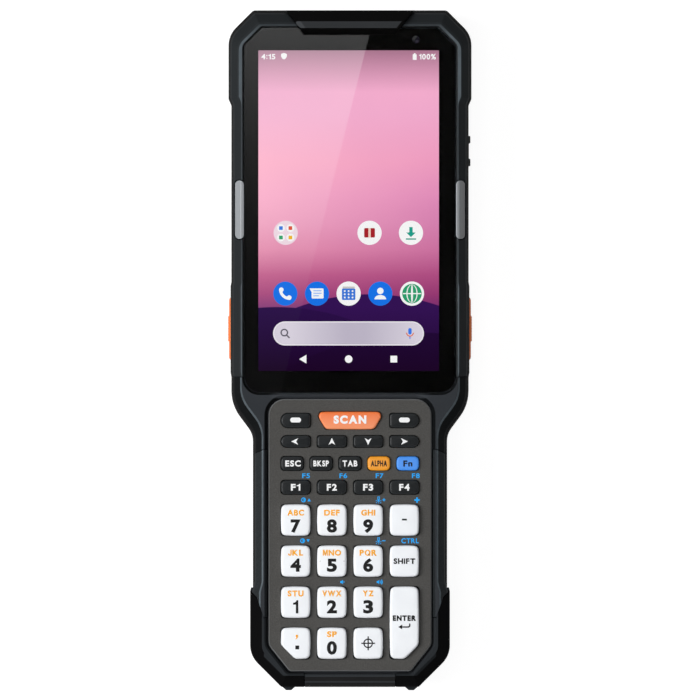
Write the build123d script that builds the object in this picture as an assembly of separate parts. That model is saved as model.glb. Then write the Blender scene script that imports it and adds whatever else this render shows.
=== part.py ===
from build123d import *
import math
import os

os.makedirs("parts", exist_ok=True)

# Portable barcode data terminal, in millimetres. It lies on its back: +Z is the way the screen
# faces, +Y points to the scanner end, and the origin is under the middle of the whole box.

# ---------------------------------------------------------------- keypad
column_pitch = 10.76
key_width = 8.78
small_key_width = 6.74
side_margin = 3.67  # from the outer keys to the edge of the keypad plate

soft_row_drop = 6.35  # from the plate's top edge to the middle of the first row
arrow_row_step = 6.22
letter_row_step = 6.53
function_row_step = 7.07
number_row_step = 9.73
number_pitch = 12.19
plate_foot = 8.31  # from the middle of the last row to the plate's lower edge

soft_key_height = 4.36
scan_key_height = 5.3
scan_key_width = 19.0
scan_key_foot_width = 14.5
arrow_key_height = 3.56
small_key_height = 4.25
number_key_height = 9.38
key_corner = 1.1
key_cut = 4.25  # cut corner of the ENTER and point keys
key_top_round = 0.4
key_cut_round = 0.8
row_corner = 0.7  # inner corners of the soft and arrow keys
round_end = 0.49  # radius of a round key end as a share of the key's height
scan_key_widest = 1.48  # from the SCAN key's top edge down to its widest line
scan_key_lid = 0.6  # its top edge is this much narrower on each side
scan_key_foot_round = 0.9
scan_key_round = 0.5

key_travel = 0.8
key_gap = 0.15  # round a key in its opening
flange_width = 0.45
flange_height = 0.6
mat_inset = 1.6  # from the plate's edge to the mat and its board
mat_gap = 0.2  # left between a pressed key and the mat
key_rise = 1.7  # white keys stand this far over the plate
low_key_rise = 1.1  # dark keys stand this far over the plate

plate_thickness = 2.0
plate_corner = 4.8
plate_cut_x = 6.2
plate_cut_y = 7.8
plate_edge = 0.3
plate_end_round = 1.5
plate_cut_round = 3.5
mat_thickness = 1.2
dome_thickness = 0.4
dome_diameter = 3.2
board_thickness = 1.6
pad_inset = 0.9  # from a key's outline to the pad under it
pad_rise = 0.3
plug_width = 12.0  # connector under the keypad board
plug_length = 5.0
plug_height = 1.6
plug_drop = 7.0  # from the plate's top edge

# ---------------------------------------------------------------- screen
glass_width = 62.8
glass_length = 108.4
glass_thickness = 1.5
glass_corner = 4.5
glass_corner_cut = 5.3
glass_cut_round = 2.0
glass_end_round = 1.0
panel_width = 57.6
panel_length = 101.0
panel_thickness = 3.0
panel_shift = -0.4  # the panel sits a little left of the middle
panel_drop = 5.5  # from the glass's top edge to the panel's
panel_frame_inset = 3.0
panel_frame_height = 0.4
camera_x = 19.6
camera_drop = 3.5
camera_diameter = 3.4
camera_depth = 4.6
camera_lens_diameter = 1.53
camera_lens_sink = 0.6

# ---------------------------------------------------------------- case outline
rim = 0.6  # the rear housing stands out round the front parts by this
rail_width = 3.25  # frame beside the glass
grip_rail_width = 3.6  # frame beside the keypad
groove = 0.45  # dark gap round the keypad plate
top_rail = 5.3
bridge = 1.8  # between glass and keypad plate
neck_overlap = 4.0  # the neck's hollow reaches this far under the glass
boot_end = 4.7
nub_height = 1.0
nub_width = 3.8
nub_tip_width = 1.5
nub_middle = 18.2
nub_low = 7.0
nub_high = 19.0
head_step = 0.85
shoulder_step = 0.25
boot_flare = 0.8
wide_share = 1.38  # the frame is this much wider at the scanner end
neck_share = 1.25  # and this much across the neck
head_corner_cut = 7.35
head_corner_round = 7.5
head_end_round = 1.5
boot_corner_cut = 9.25
boot_corner_round = 7.7
boot_end_round = 1.0
head_shoulder_drop = 26.35  # from the scanner end to the step in the head's side
neck_high_drop = 3.6  # from the glass's lower edge to the top of the neck's slope
neck_low_drop = 12.2
neck_high_round = 12.8
neck_low_round = 6.4
step_round = 0.5  # at the small steps in the head's side
head_step_run = 2.0
bulge_low_start = 5.1  # from the triggers' lower end to the start of the bulge round them
bulge_low_end = 3.8
bulge_high_start = 3.4
bulge_high_end = 4.6
boot_length = 25.0  # the boot reaches this far up the sides, from the plate's lower edge
boot_step_low = 1.2  # the step between boot and grip starts this far under the boot's edge
boot_step_high = 1.8
boot_step_round = 1.5
core_end_round = 0.8
core_corner_round = 5.5
core_gap = 0.3  # between the boot's edge and the step in the case under it
seam_rise = 4.8  # from the glass's lower edge to the bezel's seams
seam_slant = 0.9
rail_drop = 15.1  # from the plate's top edge to the rail's upper seam
rail_rise = 16.1  # from the plate's lower edge to the rail's lower seam
rail_high_slant = 3.2
rail_low_slant = 10.4
rail_low_step = 6.0
rail_high_ledge = 1.2
rail_low_ledge = 1.0
rail_shoulder = 0.6

# ---------------------------------------------------------------- heights
parting = 15.0  # between rear and front housing
parting_gap = 0.2
glass_top = 26.4
plate_top_z = 26.4
crest = 27.6  # highest line of the frame
side_top = 24.2  # the side walls are upright to here
side_round = (0.8, 0.35)  # height and inset of the round over the side walls
crest_round = (0.35, 0.45)  # drop and run of the round at the crest
crest_inset = 2.5  # from the side wall to the crest
boot_side_top = 22.6
boot_crest_round = (0.6, 0.5)
boot_crest_inset = 3.5
well_over = 1.0  # the wells' flares run this far over the crest
glass_flare = 0.9
keypad_flare = 1.35
rear_edge = (0.5, 0.4)  # height and inset of the rear housing's edge at the parting
bezel_seat = 18.0
rail_seat = 20.6
boot_cap = 24.0
wall = 2.4
back_wall = 2.2
hollow_foot = 1.0  # the hollow's floor is this much narrower than the back's flat, on each side
shelf = 1.5
seam = 0.25  # gap between neighbouring case parts
glue_gap = 0.1
frame_width = 2.4  # upright of the inner frame round the screen
board_gap = 0.4
ledge_width = 2.2  # under the edge of the keypad plate
belly_foot_inset = 6.0
belly_round = ((1.4, 3.4), (5.2, 0.9), (9.0, 0.0))  # height and inset of the rounded back edge
scoop_depth = 3.4
scoop_slope = 9.0
scoop_rise = 2.0  # from the neck's lower end to the hollow across the back
scoop_drop = 22.0  # from the scanner end to that hollow
far_away = 200.0  # well past the case on every side
gasket_inset = 0.2  # from the front parts' side to the seal
gasket_width = 0.7
gasket_sink = 0.75  # the seal reaches this far into the rear housing
gasket_gap = 0.1

# ---------------------------------------------------------------- side controls
trigger_length = 18.5
trigger_middle_drop = 89.3  # from the glass's top edge
trigger_height = 7.4
trigger_low = 6.2
trigger_proud = 0.7
trigger_crown = 0.3
trigger_crown_length = 6.9
trigger_travel = 0.6
control_flange = 0.8
flange_room = 1.4  # behind a pressed control
control_flange_thickness = 1.0
control_gap = 0.25
rocker_length = 9.0
rocker_middle_drop = 36.5
rocker_height = 4.6
rocker_low = 8.4
rocker_proud = 0.55
rocker_pad = 2.0
rocker_slope = 0.4
rocker_valley = 0.1  # the rocker's middle stands out by this
pad_slope = 0.5
trigger_end_run = 1.0
trigger_end_step = 0.5
control_edge = 0.35

# ---------------------------------------------------------------- light bars
bar_length = 17.3
bar_width = 2.6
bar_middle_drop = 54.0
bar_inner = 31.5
bar_proud = 0.25
bar_gap = 0.3
bar_end = 1.27  # radius of a bar's round ends
bar_depth = 3.0  # from the bezel's seat up to the bar
bar_window_inset = 0.6  # the cut towards the glass is this much shorter at each end
bar_window_reach = 1.0  # and reaches this far over the glass

# ---------------------------------------------------------------- scanner end
hood_width = 38.4
hood_top_width = 32.4
hood_foot_width = 27.2
hood_reach = 7.2  # from the scanner end to the hood's lower edge
hood_strip = 2.0
hood_slope = 3.4
hood_top = 29.2
hood_seat = 22.0
hood_face_drop = 1.2  # from the glass's face down to the hood's foot
hood_back = 0.1  # the hood stays this far inside the scanner end
hood_corner = 0.4
hood_strip_cut = 1.2  # the strip's lower edge is this much narrower on each side
hood_strip_step = 0.4
window_gap = 0.15
window_lip = 1.0  # the opening behind the window is this much smaller all round
window_room_depth = 12.0
window_seat_gap = 0.1
window_width = 26.0
window_height = 7.6
window_thickness = 1.5
window_inset = 1.1
window_middle = 9.9
engine_width = 24.0
engine_depth = 14.0
engine_height = 9.2
engine_pad_diameter = 5.0
engine_pad_spread = 8.0
engine_gap = 0.4  # from the window's back to the engine
engine_rise = 0.1
engine_nose = 2.6
engine_nose_inset = 1.4
engine_nose_drop = 1.3
imager_x = -4.0
imager_diameter = 4.4
aimer_x = 6.0
aimer_diameter = 3.2
lens_sink = 1.5

# ---------------------------------------------------------------- back
battery_width = 48.0
battery_length = 60.6
battery_height = 12.0
battery_end_wall = 7.4  # from the end of the rear housing to the battery
battery_gap = 0.3
latch_width = 16.0
latch_length = 8.4
latch_height = 2.2
latch_travel = 3.0
latch_rail = 0.8
latch_sunk = 0.5
latch_gap = 0.3
latch_end_gap = 0.4
latch_drop = 0.6  # from the battery to the latch
latch_rail_low = 1.0  # the rails lie between these depths under the latch's inner face
latch_rail_high = 0.4
latch_rail_gap = 0.2
latch_ribs = 4
latch_rib_inset = 1.5
latch_rib_width = 0.9
latch_rib_depth = 0.5
latch_wall = 3.0
battery_ribs = 5
battery_rib_middle = 12.96
battery_rib_length = 16.0
battery_rib_width = 1.2
battery_rib_depth = 0.5
bay_wall = 2.0
rear_camera_x = 17.0
rear_camera_drop = 33.0
rear_camera_diameter = 9.0
rear_camera_depth = 6.0
flash_diameter = 3.6
flash_step = 9.0
flash_depth = 3.0
rear_lens_diameter = 5.58
rear_lens_sink = 0.7
lens_gap = 0.15
lens_set_back = 0.2
lens_room = 12.0
speaker_x = -16.0
speaker_drop = 33.0
speaker_width = 14.0
speaker_length = 11.0
speaker_height = 4.0
slot_width = 1.0
slot_length = 10.0
slot_pitch = 2.2
slot_count = 5
speaker_gap = 0.15
slot_room = 0.5
screw_head_diameter = 4.2
screw_head_height = 1.6
screw_diameter = 2.2
screw_sink = 0.2
screw_bore = 2.6
screw_head_gap = 0.2
cross_length = 2.6
cross_width = 0.5
cross_depth = 0.7
screw_overlap = 0.8
top_screw_drop = 15.0  # from the scanner end
side_screw_rise = 26.0  # from the triggers' middle
glass_screw_inset = 0.4
neck_screw_inset = 5.2
neck_screw_rise = 4.4
foot_screw_rise = 14.0
boss_diameter = 6.2
screw_reach = 3.6  # into the front housing
boss_tip = 0.3
post_diameter = 4.0
post_x = 22.0
post_rise = 10.0
post_drop = 24.0
board_rise = 0.8  # main board over the parting
board_start = 6.0
board_end = 20.0
board_screw_gap = 0.3
shields = (  # left edge, start along the board, width, length and height of each shield
    (-18.0, 12.0, 20.0, 28.0, 2.0),
    (6.0, 20.0, 14.0, 16.0, 1.8),
    (-14.0, 65.7, 26.0, 14.0, 1.6),
)

# ---------------------------------------------------------------- lower end
boot_wall = 2.2
cover_width = 26.8
cover_lip = 4.0  # how far the cover reaches over the front face
cover_hinge_height = 13.0
socket_width = 9.0
socket_height = 3.3
socket_depth = 7.0
socket_wall = 0.35
socket_middle = 17.3
socket_set_back = 0.2
socket_slack = 3.0
socket_back = 1.0
tongue_inset = 1.3
tongue_thickness = 0.7
nub_root = 0.5

# ---------------------------------------------------------------- places worked out from the sizes
field_width = 3 * column_pitch + key_width
plate_width = field_width + 2 * side_margin
plate_length = (
    soft_row_drop + arrow_row_step + letter_row_step + function_row_step
    + number_row_step + 3 * number_pitch + plate_foot
)
length = top_rail + glass_length + bridge + plate_length + boot_end + nub_height
grip_half = plate_width / 2 + groove + grip_rail_width + rim
waist_half = glass_width / 2 + rail_width + rim
head_half = waist_half + head_step
shoulder_half = waist_half + shoulder_step
boot_half = grip_half + boot_flare

scanner_y = length / 2
glass_high = scanner_y - top_rail
glass_low = glass_high - glass_length
plate_high = glass_low - bridge
plate_low = plate_high - plate_length
end_y = plate_low - boot_end
neck_high = glass_low - neck_high_drop
neck_low = glass_low - neck_low_drop
boot_start = plate_low + boot_length
head_step_y = scanner_y - head_shoulder_drop
trigger_y = glass_high - trigger_middle_drop
trigger_low_y = trigger_y - trigger_length / 2
trigger_high_y = trigger_y + trigger_length / 2
rocker_y = glass_high - rocker_middle_drop
bar_y = glass_high - bar_middle_drop
seam_y = glass_low + seam_rise

plate_z = plate_top_z - plate_thickness
ledge_top = plate_z - glue_gap
ledge_bottom = ledge_top - shelf
flange_top = plate_z - seam
key_foot = flange_top - flange_height
mat_top = key_foot - key_travel - mat_gap
mat_bottom = mat_top - mat_thickness
dome_top = mat_bottom - glue_gap
board_top = dome_top - dome_thickness
board_bottom = board_top - board_thickness
glass_bottom = glass_top - glass_thickness
shelf_top = glass_bottom - glue_gap
shelf_bottom = shelf_top - shelf
rear_top = parting - parting_gap

half_cut = math.tan(math.radians(22.5))


# ---------------------------------------------------------------- outlines
def both_sides(right, last_share=1.0):
    """A closed outline from its right side, whose corners run upwards: x, y, radius, share."""
    left = []
    for index in range(len(right) - 1, -1, -1):
        x, y, radius, share = right[index]
        share = right[index - 1][3] if index else last_share
        left.append((-x, y, radius, share))
    return right + left


def side_normal(start, end):
    """The way inwards from the side between two corners of an anticlockwise outline."""
    run_x, run_y = end[0] - start[0], end[1] - start[1]
    run = math.hypot(run_x, run_y)
    return -run_y / run, run_x / run


def moved_in(corners, inset):
    """The corners with every side moved inwards by inset times its share, and parallel fillets."""
    moved = []
    for index, (x, y, radius, share) in enumerate(corners):
        before = corners[index - 1]
        after = corners[(index + 1) % len(corners)]
        first, second = side_normal(before, (x, y)), side_normal((x, y), after)
        first_inset, second_inset = inset * before[3], inset * share
        cosine = first[0] * second[0] + first[1] * second[1]
        sine_squared = 1 - cosine * cosine
        first_part = (first_inset - second_inset * cosine) / sine_squared
        second_part = (second_inset - first_inset * cosine) / sine_squared
        turn = first[0] * second[1] - first[1] * second[0]
        grown = radius - inset if turn > 0 else radius + inset
        moved.append((
            x + first_part * first[0] + second_part * second[0],
            y + first_part * first[1] + second_part * second[1],
            max(grown, 0.15) if radius else 0.0,
        ))
    return moved


def outline(corners, inset=0.0):
    """The flat face inside an outline that is moved inwards by inset."""
    moved = moved_in(corners, inset)
    points = [(x, y) for x, y, radius in moved]
    radii = [radius for x, y, radius in moved]
    return make_face(FilletPolyline(*points, radius=radii, close=True))


def column(corners, inset, bottom, top):
    """The outline carried straight up from one height to another."""
    return Pos(0, 0, bottom) * extrude(outline(corners, inset), top - bottom, dir=(0, 0, 1))


def stack(corners, levels):
    """A solid with the outline at each height and inset of levels, and slopes between them."""
    return loft([Pos(0, 0, height) * outline(corners, inset) for height, inset in levels], ruled=True)


def box(low, high):
    """A box between two opposite corners."""
    size = [far - near for near, far in zip(low, high)]
    middle = [(near + far) / 2 for near, far in zip(low, high)]
    return Pos(*middle) * Box(*size)


def prism(points, bottom, top):
    """A polygon in the XY plane carried straight up."""
    face = make_face(Polyline(*points, close=True))
    return Pos(0, 0, bottom) * extrude(face, top - bottom, dir=(0, 0, 1))


def side_prism(points, half_width):
    """A polygon given as y, z and carried along X to both sides."""
    face = make_face(Polyline(*[(0, y, z) for y, z in points], close=True))
    return extrude(face, half_width, dir=(1, 0, 0)) + extrude(face, half_width, dir=(-1, 0, 0))


def rod(x, y, diameter, bottom, top):
    """An upright round bar."""
    return Pos(x, y, (bottom + top) / 2) * Cylinder(diameter / 2, top - bottom)


def mirrored(shape):
    """The same shape on the other side of the middle."""
    return mirror(shape, about=Plane.YZ)


case_corners = both_sides([
    (boot_half - boot_corner_cut, end_y, boot_end_round, 1.0),
    (boot_half, end_y + boot_corner_cut, boot_corner_round, 1.0),
    (boot_half, boot_start - boot_step_low, boot_step_round, 1.0),
    (grip_half, boot_start + boot_step_high, boot_step_round, 1.0),
    (grip_half, neck_low, neck_low_round, neck_share),
    (waist_half, neck_high, neck_high_round, 1.0),
    (waist_half, trigger_low_y - bulge_low_start, step_round, 1.0),
    (shoulder_half, trigger_low_y - bulge_low_end, step_round, 1.0),
    (shoulder_half, trigger_high_y + bulge_high_start, step_round, 1.0),
    (waist_half, trigger_high_y + bulge_high_end, step_round, 1.0),
    (waist_half, head_step_y - head_step_run, step_round, 1.0),
    (head_half, head_step_y, step_round, 1.0),
    (head_half, scanner_y - head_corner_cut, head_corner_round, wide_share),
    (head_half - head_corner_cut, scanner_y, head_end_round, wide_share),
])

core_half = boot_half - boot_wall
core_end = end_y + boot_wall
core_cut = boot_wall * half_cut
core_corners = both_sides([
    (boot_half - boot_corner_cut - core_cut, core_end, core_end_round, 1.0),
    (core_half, end_y + boot_corner_cut + core_cut, core_corner_round, 1.0),
    (core_half, boot_start - core_gap, 0.0, 1.0),
    (grip_half, boot_start - core_gap, 0.0, 1.0),
] + case_corners[4:14])

battery_low = core_end + battery_end_wall
battery_high = battery_low + battery_length
latch_low = battery_high + latch_drop
bay_top = battery_height + battery_gap

glass_corners = both_sides([
    (glass_width / 2, glass_low, glass_corner, 1.0),
    (glass_width / 2, glass_high - glass_corner_cut, glass_cut_round, 1.0),
    (glass_width / 2 - glass_corner_cut, glass_high, glass_end_round, 1.0),
])

plate_corners = both_sides([
    (plate_width / 2 - plate_cut_x, plate_low, plate_end_round, 1.0),
    (plate_width / 2, plate_low + plate_cut_y, plate_cut_round, 1.0),
    (plate_width / 2, plate_high, plate_corner, 1.0),
])

belly_levels = ((0.0, belly_foot_inset),) + belly_round
rear_levels = belly_levels + ((rear_top - rear_edge[0], 0.0), (rear_top, rear_edge[1]))
front_levels = (
    (parting, rim), (side_top, rim), (side_top + side_round[0], rim + side_round[1]),
    (crest - crest_round[0], rim + crest_inset - crest_round[1]), (crest, rim + crest_inset),
)
boot_levels = belly_levels + (
    (boot_side_top, 0.0), (boot_side_top + side_round[0], side_round[1]),
    (crest - boot_crest_round[0], boot_crest_inset - boot_crest_round[1]), (crest, boot_crest_inset),
)


# ---------------------------------------------------------------- keys
def rectangle(x, y, width, height, left_radius, right_radius):
    """A rounded rectangle with its own radius on each side."""
    left, right = x - width / 2, x + width / 2
    low, high = y - height / 2, y + height / 2
    return [
        (left, low, left_radius, 1.0), (right, low, right_radius, 1.0),
        (right, high, right_radius, 1.0), (left, high, left_radius, 1.0),
    ]


def scan_outline(y):
    """The SCAN key: widest near its top, with slanting ends."""
    low, high = y - scan_key_height / 2, y + scan_key_height / 2
    widest = high - scan_key_widest
    return both_sides([
        (scan_key_foot_width / 2, low, scan_key_foot_round, 1.0),
        (scan_key_width / 2, widest, scan_key_round, 1.0),
        (scan_key_width / 2 - scan_key_lid, high, scan_key_round, 1.0),
    ])


def cut_outline(x, low, high, cut_side):
    """A number key with its lower outer corner cut off."""
    half = key_width / 2
    corners = [
        (x - half, low, key_corner, 1.0), (x + half - key_cut, low, key_cut_round, 1.0),
        (x + half, low + key_cut, key_cut_round, 1.0), (x + half, high, key_corner, 1.0),
        (x - half, high, key_corner, 1.0),
    ]
    if cut_side > 0:
        return corners
    return [(2 * x - cx, cy, radius, share) for cx, cy, radius, share in reversed(corners)]


def key_table():
    """Every key by name: its outline and how far it stands over the plate."""
    columns = [(step - 1.5) * column_pitch for step in range(4)]
    small_pitch = (field_width - small_key_width) / 4
    small_columns = [(step - 2) * small_pitch for step in range(5)]
    soft_y = plate_high - soft_row_drop
    arrow_y = soft_y - arrow_row_step
    letter_y = arrow_y - letter_row_step
    function_y = letter_y - function_row_step
    rows = [function_y - number_row_step - step * number_pitch for step in range(4)]
    keys = {}

    soft_round = round_end * soft_key_height
    keys["key_soft_left"] = (
        rectangle(columns[0], soft_y, key_width, soft_key_height, soft_round, row_corner), low_key_rise)
    keys["key_scan"] = (scan_outline(soft_y), low_key_rise)
    keys["key_soft_right"] = (
        rectangle(columns[3], soft_y, key_width, soft_key_height, row_corner, soft_round), low_key_rise)

    arrow_round = round_end * arrow_key_height
    for step, name in enumerate(("left", "up", "down", "right")):
        left_radius = arrow_round if step == 0 else row_corner
        right_radius = arrow_round if step == 3 else row_corner
        keys["key_" + name] = (
            rectangle(columns[step], arrow_y, key_width, arrow_key_height, left_radius, right_radius),
            low_key_rise)
    for step, name in enumerate(("escape", "backspace", "tab", "alpha", "function")):
        keys["key_" + name] = (
            rectangle(small_columns[step], letter_y, small_key_width, small_key_height,
                      key_corner, key_corner), low_key_rise)
    for step, x in enumerate(columns):
        keys["key_f" + str(step + 1)] = (
            rectangle(x, function_y, key_width, small_key_height, key_corner, key_corner),
            low_key_rise)

    for row, names in enumerate((("7", "8", "9", "minus"), ("4", "5", "6", "shift"), ("1", "2", "3"))):
        for name, x in zip(names, columns):
            keys["key_" + name] = (
                rectangle(x, rows[row], key_width, number_key_height, key_corner, key_corner), key_rise)
    half_height = number_key_height / 2
    keys["key_enter"] = (
        cut_outline(columns[3], rows[3] - half_height, rows[2] + half_height, 1), key_rise)
    keys["key_point"] = (
        cut_outline(columns[0], rows[3] - half_height, rows[3] + half_height, -1), key_rise)
    for name, x in (("0", columns[1]), ("target", columns[2])):
        keys["key_" + name] = (
            rectangle(x, rows[3], key_width, number_key_height, key_corner, key_corner), key_rise)
    return keys


keys = key_table()


def middle_of(corners):
    """The middle of an outline's box."""
    xs, ys = [corner[0] for corner in corners], [corner[1] for corner in corners]
    return (min(xs) + max(xs)) / 2, (min(ys) + max(ys)) / 2


def key_cap(corners, rise):
    """A key with its rounded top and the flange that keeps it under the plate."""
    top = plate_top_z + rise
    cap = column(corners, 0, key_foot, top)
    cap = fillet(cap.faces().sort_by(Axis.Z)[-1].edges(), key_top_round)
    return cap + column(corners, -flange_width, key_foot, flange_top)


def keypad_plate():
    """The stiff plate that the keys stand through."""
    plate = column(plate_corners, 0, plate_z, plate_top_z)
    plate = chamfer(plate.faces().sort_by(Axis.Z)[-1].edges(), plate_edge)
    for corners, _ in keys.values():
        plate -= column(corners, -key_gap, plate_z - 1, plate_top_z + 1)
    return plate


def keypad_mat():
    """The silicone mat, with a low pad under each key."""
    mat = column(plate_corners, mat_inset, mat_bottom, mat_top - pad_rise)
    for corners, _ in keys.values():
        mat += column(corners, pad_inset, mat_bottom, mat_top)
    return mat


def dome_switches():
    """One metal dome under each key."""
    return [
        rod(*middle_of(corners), dome_diameter, board_top, dome_top) for corners, _ in keys.values()
    ]


def keypad_board():
    """The board that carries the domes."""
    board = column(plate_corners, mat_inset, board_bottom, board_top)
    plug_high = plate_high - plug_drop
    return board + box((-plug_width / 2, plug_high - plug_length, board_bottom - plug_height),
                       (plug_width / 2, plug_high, board_bottom))


# ---------------------------------------------------------------- screen
def hood_column(gap, bottom, top):
    """The room that the scan hood takes, as seen from the front, grown by a gap."""
    high = scanner_y + 5
    low = scanner_y - hood_reach - gap
    mid = scanner_y - hood_slope
    return prism([
        (-hood_width / 2 - gap, high), (-hood_width / 2 - gap, scanner_y),
        (-(hood_width + hood_foot_width) / 4 - gap, mid), (-hood_foot_width / 2 - gap, low),
        (hood_foot_width / 2 + gap, low), ((hood_width + hood_foot_width) / 4 + gap, mid),
        (hood_width / 2 + gap, scanner_y), (hood_width / 2 + gap, high),
    ], bottom, top)


def display_glass():
    """The cover glass, notched for the scan hood."""
    glass = column(glass_corners, 0, glass_bottom, glass_top)
    return glass - hood_column(seam, glass_bottom - 1, glass_top + 1)


panel_high = glass_high - panel_drop
panel_low = panel_high - panel_length


def panel_box(gap, bottom, top):
    """The room that the display panel takes, grown by a gap."""
    half = panel_width / 2 + gap
    return box((panel_shift - half, panel_low - gap, bottom), (panel_shift + half, panel_high + gap, top))


def display_module():
    """The display panel with its metal back frame."""
    top = glass_bottom - glue_gap
    panel = panel_box(0, top - panel_thickness, top)
    back_top = top - panel_thickness
    back = panel_box(-panel_frame_inset, back_top - panel_frame_height, back_top)
    return panel + back


def front_camera():
    """The camera that looks out through the glass beside the hood."""
    y = glass_high - camera_drop
    top = glass_bottom - glue_gap
    barrel = rod(camera_x, y, camera_diameter, top - camera_depth, top)
    return barrel - rod(camera_x, y, camera_lens_diameter, top - camera_lens_sink, top + 1)


# ---------------------------------------------------------------- case front
def glass_well():
    """The opening over the glass, flaring towards the crest of the frame."""
    straight = column(glass_corners, -glue_gap, shelf_top, glass_top)
    flare = stack(glass_corners, ((glass_top, -glue_gap), (crest + well_over, -glue_gap - glass_flare)))
    return straight + flare


def keypad_well():
    """The opening round the keypad plate."""
    straight = column(plate_corners, -groove, ledge_top, plate_top_z)
    flare = stack(plate_corners, ((plate_top_z, -groove), (crest + well_over, -groove - keypad_flare)))
    return straight + flare


def bezel_zone(gap):
    """Everything that belongs to the upper bezel: over its seat and above its seams."""
    wide = head_half + 10
    low = seam_y - gap
    return prism([
        (-wide, low + seam_slant), (-glass_width / 2, low), (glass_width / 2, low),
        (wide, low + seam_slant), (wide, scanner_y + 10), (-wide, scanner_y + 10),
    ], bezel_seat - gap, crest + 10)


def rail_zone(gap):
    """Everything that belongs to the right grip rail, whose ends slant across the frame."""
    well = plate_width / 2 + groove
    inner = well - gap
    outer = grip_half + rail_width
    high = plate_high - rail_drop + gap
    low = plate_low + rail_rise - gap
    return prism([
        (inner, high), (well + rail_high_ledge, high), (outer, high - rail_high_slant),
        (outer, low + rail_low_slant), (grip_half - rim - rail_shoulder, low + rail_low_step),
        (well + rail_low_ledge, low), (inner, low),
    ], rail_seat - gap, crest + 10)


def boot_zone(gap):
    """Everything that belongs to the boot, apart from what the core and the rails keep."""
    wide = boot_half + 10
    return box((-wide, end_y - 10, -5), (wide, boot_start - seam + gap, crest + 10))


def front_form():
    """The outer form of all the charcoal parts on the front."""
    return stack(case_corners, front_levels)


def bar_slot(gap, bottom, top):
    """The room of the right light bar, seen from the front, grown by a gap."""
    x = bar_inner + bar_width / 2
    corners = rectangle(x, bar_y, bar_width, bar_length, bar_end, bar_end)
    return column(corners, -gap, bottom, top)


def light_bar():
    """The right light bar: it follows the frame's slope and stands a little proud of it."""
    proud = [
        (height + (bar_proud if inset > rim else 0), inset - bar_proud) for height, inset in front_levels
    ]
    return stack(case_corners, proud) & bar_slot(0, bezel_seat + bar_depth, crest + 5)


def upper_bezel():
    """The frame round the glass, down to its seams at the neck."""
    bezel = front_form() & bezel_zone(0)
    bezel -= column(glass_corners, -glue_gap, 0, glass_top)
    bezel -= glass_well()
    slot = bar_slot(bar_gap, bezel_seat + bar_depth - bar_gap, crest + 5)
    half = bar_length / 2 - bar_window_inset
    slot += box((glass_width / 2 - bar_window_reach, bar_y - half, glass_bottom),
                (bar_inner + bar_width / 2, bar_y + half, crest + 5))
    bezel -= slot
    bezel -= mirrored(slot)
    return bezel - hood_column(seam, hood_seat - seam, crest + 5)


def grip_rail():
    """The right grip rail."""
    return (front_form() & rail_zone(0)) - keypad_well()


hollow_edge = mat_inset - 2 * seam  # from the plate's edge to the hollow under the keypad
screw_places = [
    (glass_width / 2 - boss_diameter / 2 - glass_screw_inset, scanner_y - top_screw_drop),
    (glass_width / 2 - boss_diameter / 2 - glass_screw_inset, trigger_y + side_screw_rise),
    (grip_half - neck_screw_inset, neck_low + neck_screw_rise),
    (plate_width / 2 - hollow_edge - boss_diameter / 4, plate_low + foot_screw_rise),
]
mirrored_screw_places = [(side * x, y) for x, y in screw_places for side in (-1, 1)]
screw_tip = parting + screw_reach


hollow_inset = rail_width + rim + frame_width - glue_gap


def head_hollow():
    """The room inside the front housing under the screen and the neck."""
    hollow = column(core_corners, hollow_inset, parting - 1, shelf_bottom)
    under_screen = box((-far_away, glass_low + neck_overlap, 0), (far_away, far_away, far_away))
    under_neck = box((-far_away, plate_high - bridge, 0), (far_away, glass_low + neck_overlap, ledge_bottom))
    return hollow & (under_screen + under_neck)


def front_housing():
    """The front housing: neck, inner frame for the screen and ledge for the keypad."""
    housing = stack(core_corners, front_levels)
    inside_glass = column(glass_corners, glue_gap, 0, crest + 20)
    housing -= bezel_zone(seam) - inside_glass
    housing -= rail_zone(seam)
    housing -= mirrored(rail_zone(seam))
    housing -= boot_zone(seam) & box((-far_away, -far_away, boot_cap), (far_away, far_away, crest + 20))
    housing -= glass_well()
    housing -= keypad_well()
    housing -= head_hollow()
    housing -= panel_box(seam, parting, crest + 5)
    housing -= column(plate_corners, hollow_edge, parting - 1, ledge_bottom)
    housing -= column(plate_corners, ledge_width, parting, plate_top_z)
    camera_y = glass_high - camera_drop
    housing -= rod(camera_x, camera_y, camera_diameter + 2 * seam, parting, crest)
    for x, y in mirrored_screw_places:
        housing += rod(x, y, boss_diameter, parting, screw_tip + boss_tip)
    for x, y in mirrored_screw_places:
        housing -= rod(x, y, screw_bore, parting - 1, screw_tip)
    housing -= hood_column(seam, shelf_top, crest + 20)
    return housing - socket_room(seam)


def case_gasket():
    """The seal in the parting line."""
    outer = rim + gasket_inset
    ring = column(core_corners, outer, rear_top - gasket_sink, parting)
    return ring - column(core_corners, outer + gasket_width, rear_top - 1, parting + 1)


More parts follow.
